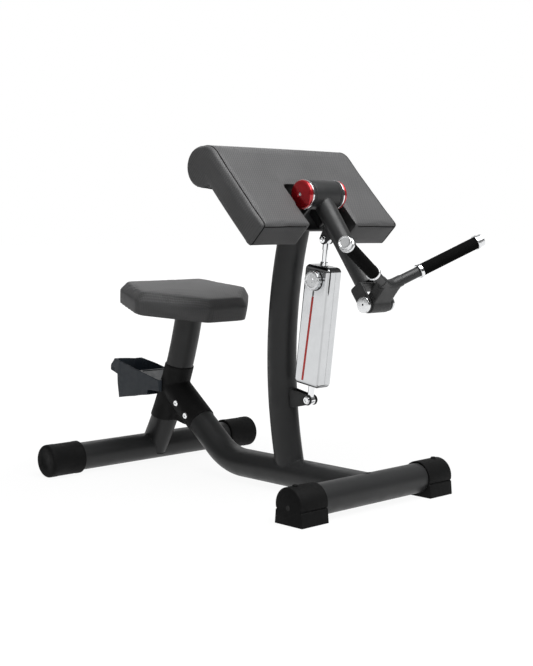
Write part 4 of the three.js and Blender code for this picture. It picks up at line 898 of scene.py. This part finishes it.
for sign, node in ((-1, "pivot_shaft"), (1, "pivot_cap")):
    make(f"{node}_disc", lathe(cap, pivot, ACROSS * sign, TUBE_SIDES), "arm", "chrome", disc, (node,))
    # The socket is a near black disc: painted shade in its hole
    socket = lathe(block(0, 2.3, face - 3, face - 0.8), pivot, ACROSS * sign)
    make(f"{node}_socket", socket, "arm", "chrome", painted_shade)


# Lug that holds the damper's upper eye
along, behind = ARM.lug_along, ARM.lug_behind
outline = [(16, along + 15), (16, along - 28)]
outline += [(behind + ARM.lug * cos(t), along + ARM.lug * sin(t))
            for t in stops(radians(-60), radians(105), 28)]
for sign, label in LEFT_RIGHT:
    cheek = prism(outline, standing(hub_centre, arm_behind, arm_run), sign * ARM.lug_in, sign * ARM.lug_out)
    make(f"damper_cheek_{label}", cheek, "arm", *PAINTED, (f"arm_lug_{label}",), bevel=1.0)
head = soft([(0, 13.4), (9.5, 13.4), (9.5, 17.4), (4.5, 17.6)], 1.2) + [(4, 15.6), (0, 15.6)]
make("lug_bolt_head", lathe(head, lug_pivot, -ACROSS), "arm", *BRIGHT, ("lug_bolt",))
make("lug_bolt_nut", hexagon(lug_pivot, 7.5, 13.4, 18.0), "arm", *BRIGHT, bevel=0.8)


# Handle: cast hub, neck and bend, then the two limbs with rings, grips and end caps

handle_up = leaning(HANDLE.tilt)
handle_face = ACROSS.cross(handle_up)
bar_arc = HANDLE.bend * HANDLE.spread
bar_low = HANDLE.apex + HANDLE.bend * (1 / cos(HANDLE.spread) - 1)


def bar_spot(along):
    """A point of the bar's middle line, by its distance from the bend's middle."""
    turn = min(abs(along), bar_arc) / HANDLE.bend
    beyond = max(abs(along) - bar_arc, 0)
    x = HANDLE.bend * sin(turn) + beyond * cos(HANDLE.spread)
    w = bar_low + HANDLE.bend * (1 - cos(turn)) + beyond * sin(HANDLE.spread)
    return pivot + ACROSS * (-x if along < 0 else x) + handle_up * w


hub = lathe(block(0, HANDLE.hub, -HANDLE.half, HANDLE.half), pivot, ACROSS, BAR_SIDES)
outline = block(-HANDLE.neck_half, HANDLE.neck_half, 0, bar_low + 4)
neck = prism(outline, standing(pivot, ACROSS, handle_up, handle_face), -HANDLE.neck / 2, HANDLE.neck / 2)
reach = HANDLE.cast_reach
bend = tube_rings([bar_spot(d) for d in stops(-reach, reach, 40)], HANDLE.cast_bar, handle_face, PIN_SIDES)
whole = mesh_of("handle_casting", merged(hub, neck, skinned(bend)))
cast = rounded_off("handle_casting", whole, HANDLE.cast, 9)
settle(cast, "handle", *PAINTED, ("handle_hub",))
end = HANDLE.ring_start + HANDLE.ring + 2 * HANDLE.gap + HANDLE.grip
bar = tube_rings([bar_spot(d) for d in stops(-end, end, 120)], HANDLE.bar, handle_face, BAR_SIDES)
make("handle_bend_bar", skinned(bar), "handle", *PAINTED, ("handle_bar",))
for sign, label in LEFT_RIGHT:
    run = (ACROSS * sign * cos(HANDLE.spread) + handle_up * sin(HANDLE.spread)).normalized()
    start = bar_spot(sign * bar_arc) - run * bar_arc
    bore = HANDLE.bar
    first = HANDLE.ring_start
    ring = soft(block(bore, HANDLE.ring_radius, first, first + HANDLE.ring), HANDLE.edge)
    make(f"grip_ring_{label}", lathe(ring, start, run, TUBE_SIDES), "handle", *BRIGHT,
         (f"inner_ring_{label}",))
    first += HANDLE.ring + HANDLE.gap
    last = first + HANDLE.grip
    r = HANDLE.grip_radius
    grip = [(bore, first), (r - 1, first), (r, first + 1.2)]
    grip += [(r - 0.35 * (i % 2), d) for i, d in enumerate(stops(first + 3, last - 3, 60))]
    grip += [(r, last - 1.2), (r - 1, last), (bore, last)]
    make(f"grip_{label}_foam", lathe(grip, start, run, BAR_SIDES), "handle", "grip", grip_foam,
         (f"grip_{label}",), crease=60)
    base = last + 2 * HANDLE.gap
    rim = base + HANDLE.cap_rim
    tip = rim + HANDLE.tip
    wide, slim = HANDLE.cap_radius, HANDLE.tip_radius
    cap = soft([(0, base), (wide, base), (wide, rim), (slim, rim), (slim, tip), (slim - 3, tip),
                (slim - 4, tip - 1.5), (0, tip - 1.5)], HANDLE.edge)
    metal = turned_metal(f"turned_end_{label}", (0.83, 0.84, 0.85), 0.24, run, start)
    make(f"end_cap_{label}_metal", lathe(cap, start, run, TUBE_SIDES), "handle", "aluminium", metal,
         (f"end_cap_{label}",))


# Damper: rod, eyes, gland, casing, stripe and knob

foot_pivot = spot(0, arc_y(COLUMN, DAMPER.foot_z) - DAMPER.foot_ahead, DAMPER.foot_z)
damper_run = (foot_pivot - lug_pivot).normalized()
damper_length = (foot_pivot - lug_pivot).length
damper_front = damper_run.cross(ACROSS).normalized()


def down_damper(distance):
    return lug_pivot + damper_run * distance


def eye_shape(centre, towards, neck_length, neck):
    barrel = lathe(soft(block(0, DAMPER.eye, -DAMPER.eye_half, DAMPER.eye_half), 1.2), centre, ACROSS)
    return merged(barrel, lathe([(neck, 6), (neck, neck_length)], centre, towards))


def casing_painted_reflection(tree):
    """Share of painted reflection on the casing: its rounded edges are painted near black, as if they
    reflected the dark frame.
    """
    normal = coordinates(tree, "Normal")
    sideways, lengthways, forwards = [
        vector_maths(tree, "DOT_PRODUCT", normal, axis) for axis in (ACROSS, damper_run, damper_front)]

    def rounded(facing):
        square = maths(tree, "POWER", facing, 2)
        return times(tree, times(tree, square, maths(tree, "SUBTRACT", 1, square)), 4)

    behind = ranged(tree, forwards, 1.0, 0.45, -0.2, 0.2)
    edge = maths(tree, "MAXIMUM", times(tree, rounded(sideways), behind), rounded(lengthways))
    return ranged(tree, edge, 0, 0.85, 0.3, 0.95)


def casing_outline(inset):
    corner = DAMPER.corner - inset
    x, y = DAMPER.width / 2 - inset - corner, DAMPER.depth / 2 - inset - corner
    return [(x * right + corner * cos(t), y * ahead + corner * sin(t))
            for right, ahead, start in ((1, 1, 0), (-1, 1, 90), (-1, -1, 180), (1, -1, 270))
            for t in stops(radians(start), radians(start + 90), 10)]


# Rod, eyes and gland
make("rod_upper_eye", eye_shape(lug_pivot, damper_run, DAMPER.neck_end, DAMPER.neck), "rod", *BRIGHT,
     ("rod_eye",), crease=50)
rod_end = DAMPER.casing + DAMPER.rod_reach
rod = lathe([(DAMPER.rod, DAMPER.neck_end + 0.3), (DAMPER.rod, rod_end), (0, rod_end)], lug_pivot, damper_run)
make("rod_bright", rod, "rod", *BRIGHT, ("damper_rod",))
collar_start = DAMPER.casing - DAMPER.collar_height
bore = DAMPER.rod + 0.3
gland = soft([(bore, collar_start + 40), (bore, collar_start), (DAMPER.collar, collar_start),
              (DAMPER.collar, DAMPER.casing + 20)], 1.4)
make("gland_collar", lathe(gland, lug_pivot, damper_run), "casing", *BRIGHT, ("damper_gland",))
neck_length = damper_length - DAMPER.casing - DAMPER.length + 20
foot = eye_shape(foot_pivot, -damper_run, neck_length, DAMPER.foot_neck)
make("damper_lower_eye", foot, "casing", "steel", chrome, ("damper_cylinder",), crease=50)

# Casing: a rounded block in two halves
edge = DAMPER.edge
first, last = DAMPER.casing, DAMPER.casing + DAMPER.length
curve = [(edge * (1 - sin(turn)), edge * (1 - cos(turn))) for turn in stops(0, pi / 2, 10)]
layers = [(inset, first + drop) for inset, drop in curve]
layers += [(0.0, first + DAMPER.length * share) for share in (0.3, 0.6)]
layers += [(inset, last - drop) for inset, drop in reversed(curve)]
rings = [[down_damper(place) + ACROSS * u + damper_front * v for u, v in casing_outline(inset)]
         for inset, place in layers]
whole = mesh_of("casing_half", skinned(rings))
# The casing's chrome carries a painted reflection: near black along its rounded edges
shell = polished("casing_chrome", (0.62, 0.63, 0.64), 0.12, 0.04, 0.95, casing_painted_reflection)
halved("casing_half", whole, DAMPER.seam, 40, "casing", "casing_plastic", shell, "casing")
bpy.data.meshes.remove(whole)


def strip(start, end, half):
    """A painted strip on the casing's left face."""
    side = (end - start).normalized().cross(ACROSS) * half
    corners = [start - side, start + side, end + side, end - side]
    depths = (casing_half + STRIPE.proud, casing_half - 1)
    return skinned([[c - ACROSS * out for c in corners] for out in depths])


# Stripe of the casing, with its grey tail
casing_half = DAMPER.width / 2
ends = []
for z, behind in ((STRIPE.top_z, STRIPE.top_behind), (STRIPE.low_z, STRIPE.low_behind)):
    along = (lug_pivot.z - z) / -damper_run.z
    ends.append(Vector((0, down_damper(along).y + behind, z)))
run = (ends[1] - ends[0]).normalized()
make("casing_stripe", strip(ends[0], ends[1], STRIPE.half), "casing", "casing_plastic", stripe_paint)
tail = strip(ends[0] - run * STRIPE.tail * 0.6, ends[0] - run, STRIPE.half * 0.8)
make("casing_stripe_tail", tail, "casing", "casing_plastic", tail_paint)


def knob_outline(shrink):
    points = []
    for turn in turns(KNOB.flutes * 16):
        radius = KNOB.radius - shrink - KNOB.flute * (0.5 - 0.5 * cos(KNOB.flutes * turn)) ** 3
        points.append((radius * cos(turn), radius * sin(turn)))
    return points


# Knob: a fluted rim round a hollow face with a button, over a painted shadow ring on the casing
centre = down_damper(DAMPER.casing + DAMPER.knob)
face = casing_half + 0.3
top = face + KNOB.height
rows = [(face, 1.5), (face + 1, 0), (top - KNOB.edge, 0)]
rows += [(top - KNOB.edge * (1 - sin(t)), KNOB.edge * (1 - cos(t))) for t in stops(0.2, pi / 2, 5)]
rings = [[centre - ACROSS * x + damper_front * u + damper_run * v for u, v in knob_outline(shrink)]
         for x, shrink in rows]
floor = top - KNOB.hollow
button = top - 0.2
for radius, x in ((KNOB.face + 1, top), (KNOB.face, floor), (6.5, floor), (6, button), (0.5, button)):
    rings.append([centre - ACROSS * x + (damper_front * u + damper_run * v).normalized() * radius
                  for u, v in knob_outline(0)])
metal = turned_metal("turned_knob", (0.72, 0.73, 0.74), 0.24, ACROSS, centre)
make("knob_dial", skinned(rings), "knob", "knob", metal, ("resistance_knob",), crease=30)
# A near black ring on the casing round the knob's foot: the knob's painted shadow
wide, wall = KNOB.radius + 2, casing_half
ring = [(wide, wall - 1), (wide, wall + 0.1), (KNOB.radius - 3, wall + 0.2)]
make("knob_shadow_ring", lathe(ring, centre, -ACROSS, TUBE_SIDES), "casing", "casing_plastic", painted_shade)


# Column lug with its bolt and nut

softened("column_lug", "foot_lug", "frame", *PAINTED, voxel=1.2)
head = soft([(0, 13.3), (10.5, 13.3), (10.5, 14.8), (8.8, 14.8), (8.8, 17.5), (4.6, 17.6)], 0.9)
head += [(4, 15.4), (0, 15.4)]
make("foot_bolt_head", lathe(head, foot_pivot, -ACROSS), "frame", *BRIGHT, ("foot_bolt",))
nut = merged(
    hexagon(foot_pivot, 9.5, 14.4, 18.4), lathe(block(0, 11, 13.3, 14.5), foot_pivot, ACROSS),
    lathe(soft(block(0, 6, 18, 20.4), 0.8), foot_pivot, ACROSS))
make("foot_nut_stack", nut, "frame", *BRIGHT, ("foot_nut",), bevel=0.6)


# Yoke plates that carry the hub inside the notch

offset = hub_centre - pad_origin
s, n = offset.dot(pad_run), offset.dot(pad_up)
foot = -PAD.plate_drop + 0.3
outline = [(end, foot) for end in HUB.plate_foot]
outline += [(s + HUB.radius * cos(t), n + HUB.radius * sin(t)) for t in stops(0, pi, 36)]
for sign, label in LEFT_RIGHT:
    plate = prism(outline, standing(pad_origin, pad_run, pad_up), sign * HUB.plate_in, sign * HUB.plate_out)
    make(f"yoke_{label}", plate, "frame", *PAINTED, (f"yoke_plate_{label}",), bevel=1.5)


# Tray
tray = softened("tray_moulding", "tray", "frame", "tray_plastic", tray_plastic, voxel=1.3)
low, high = (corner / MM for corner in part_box("tray"))
start = low.y + (high.y - low.y) * TRAY.start
middle = Vector((high.x - TRAY.corner, high.y - TRAY.corner))
for vertex in tray.data.vertices:
    place = vertex.co / MM
    out = place.xy - middle
    if min(out) > 0:
        place.xy = middle + out * max(out) / out.length
    back = max(place.y - start, 0) / (high.y - start)
    near = (high.x - place.x) / (high.x - low.x)
    top = (place.z - low.z) / (high.z - low.z)
    place.y += TRAY.lean * back
    place.z += back * (TRAY.rise * near * top - TRAY.sag * (1 - top))
    vertex.co = place * MM
tray.data.update()


# Finishes of the pieces that keep their own solids
for material, nodes in (
        (paint, ("pad_plate", "seat_plate")), (plywood, ("pad_board", "seat_board")), (bronze, ("hub_bush",)),
        (zinc, ("hub_shaft", "pad_bolt_left", "pad_bolt_right", "seat_bolt_left", "seat_bolt_right"))):
    for node in nodes:
        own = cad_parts[node]
        own.data.materials.clear()
        own.data.materials.append(material)


# Floor, light, backdrop and camera

def ray_of(tree, *kinds):
    """One for a ray of any of the kinds, otherwise nought."""
    rays = tree.nodes.new("ShaderNodeLightPath")
    seen = rays.outputs[kinds[0]]
    for kind in kinds[1:]:
        seen = maths(tree, "MAXIMUM", seen, rays.outputs[kind])
    return seen


def mixed(tree, output, share, first, second):
    """Joins two shaders to the output by a share."""
    mix = added(tree, "MixShader", {0: share, 1: first.outputs[0], 2: second.outputs[0]})
    tree.links.new(mix.outputs[0], tree.nodes[output].inputs["Surface"])


def white_floor():
    """A floor that glows white to the camera and takes shadows, with the glow stronger far out."""
    material, tree = shader("studio_floor", grey(0.5), 0.9)
    glow = added(tree, "Emission", {"Strength": 1.08})
    fade = ranged(tree, vector_maths(tree, "LENGTH", coordinates(tree)), 0.86, 1.0, 0.7, 1.2)
    seen = ray_of(tree, "Is Camera Ray", "Is Glossy Ray", "Is Transmission Ray")
    mixed(tree, "Material Output", times(tree, seen, fade), tree.nodes["Principled BSDF"], glow)
    return material


mesh = bpy.data.meshes.new("floor")
corners = [(x * FLOOR.half, y * FLOOR.half, 0) for x, y in ((-1, -1), (1, -1), (1, 1), (-1, 1))]
mesh.from_pydata(corners, [], [(0, 1, 2, 3)])
mesh.materials.append(white_floor())
floor = placed("floor", mesh)
floor.location.z = FLOOR.z
floor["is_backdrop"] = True

world = bpy.data.worlds.new("studio")
scene.world = world
world.use_nodes = True
tree = world.node_tree
place = coordinates(tree, "Generated")
height = added(tree, "SeparateXYZ", {0: place}).outputs["Z"]
behind = vector_maths(tree, "DOT_PRODUCT", place, (0.69, 0.72, 0.0))
backdrop = ranged(tree, behind, 0.0, 0.5, 0.55, 0.95)
level = plus(tree, ranged(tree, height, 0.03, 0.34, 0.0, 1.0), backdrop)
plain = fill(tree, tree.nodes["Background"], {"Color": (1, 1, 1, 1), "Strength": level})
white = added(tree, "Background", {"Color": (1, 1, 1, 1), "Strength": 1.0})
mixed(tree, "World Output", ray_of(tree, "Is Camera Ray", "Is Transmission Ray"), plain, white)


def aimed(name, data, place, direction):
    holder = placed(name, data)
    holder.location = place
    holder.rotation_mode = "QUATERNION"
    holder.rotation_quaternion = direction.to_track_quat("-Z", "Y")
    return holder


def lamp(name, place, target, size, power):
    light = bpy.data.lights.new(name, "AREA")
    light.shape = "RECTANGLE"
    light.size, light.size_y = size
    light.energy = power
    aimed(name, light, place, Vector(target) - Vector(place))


lamp("key", (-0.2, -1.6, 3.0), (0, 0, 0.4), (2.4, 2.4), 130)
lamp("fill", (-2.7, 0.0, 2.3), (0, 0, 0.5), (1.8, 1.8), 3.5)
lamp("rear", (1.4, 2.4, 2.2), (0, 0, 0.5), (2.0, 1.4), 10)

data = bpy.data.cameras.new("camera")
data.sensor_fit = "AUTO"
data.sensor_width = CAMERA.sensor
data.lens = CAMERA.lens
scene.camera = aimed("camera", data, spot(*CAMERA.place) * MM, Vector(CAMERA.look))
scene.view_settings.view_transform = "Standard"

low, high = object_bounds()
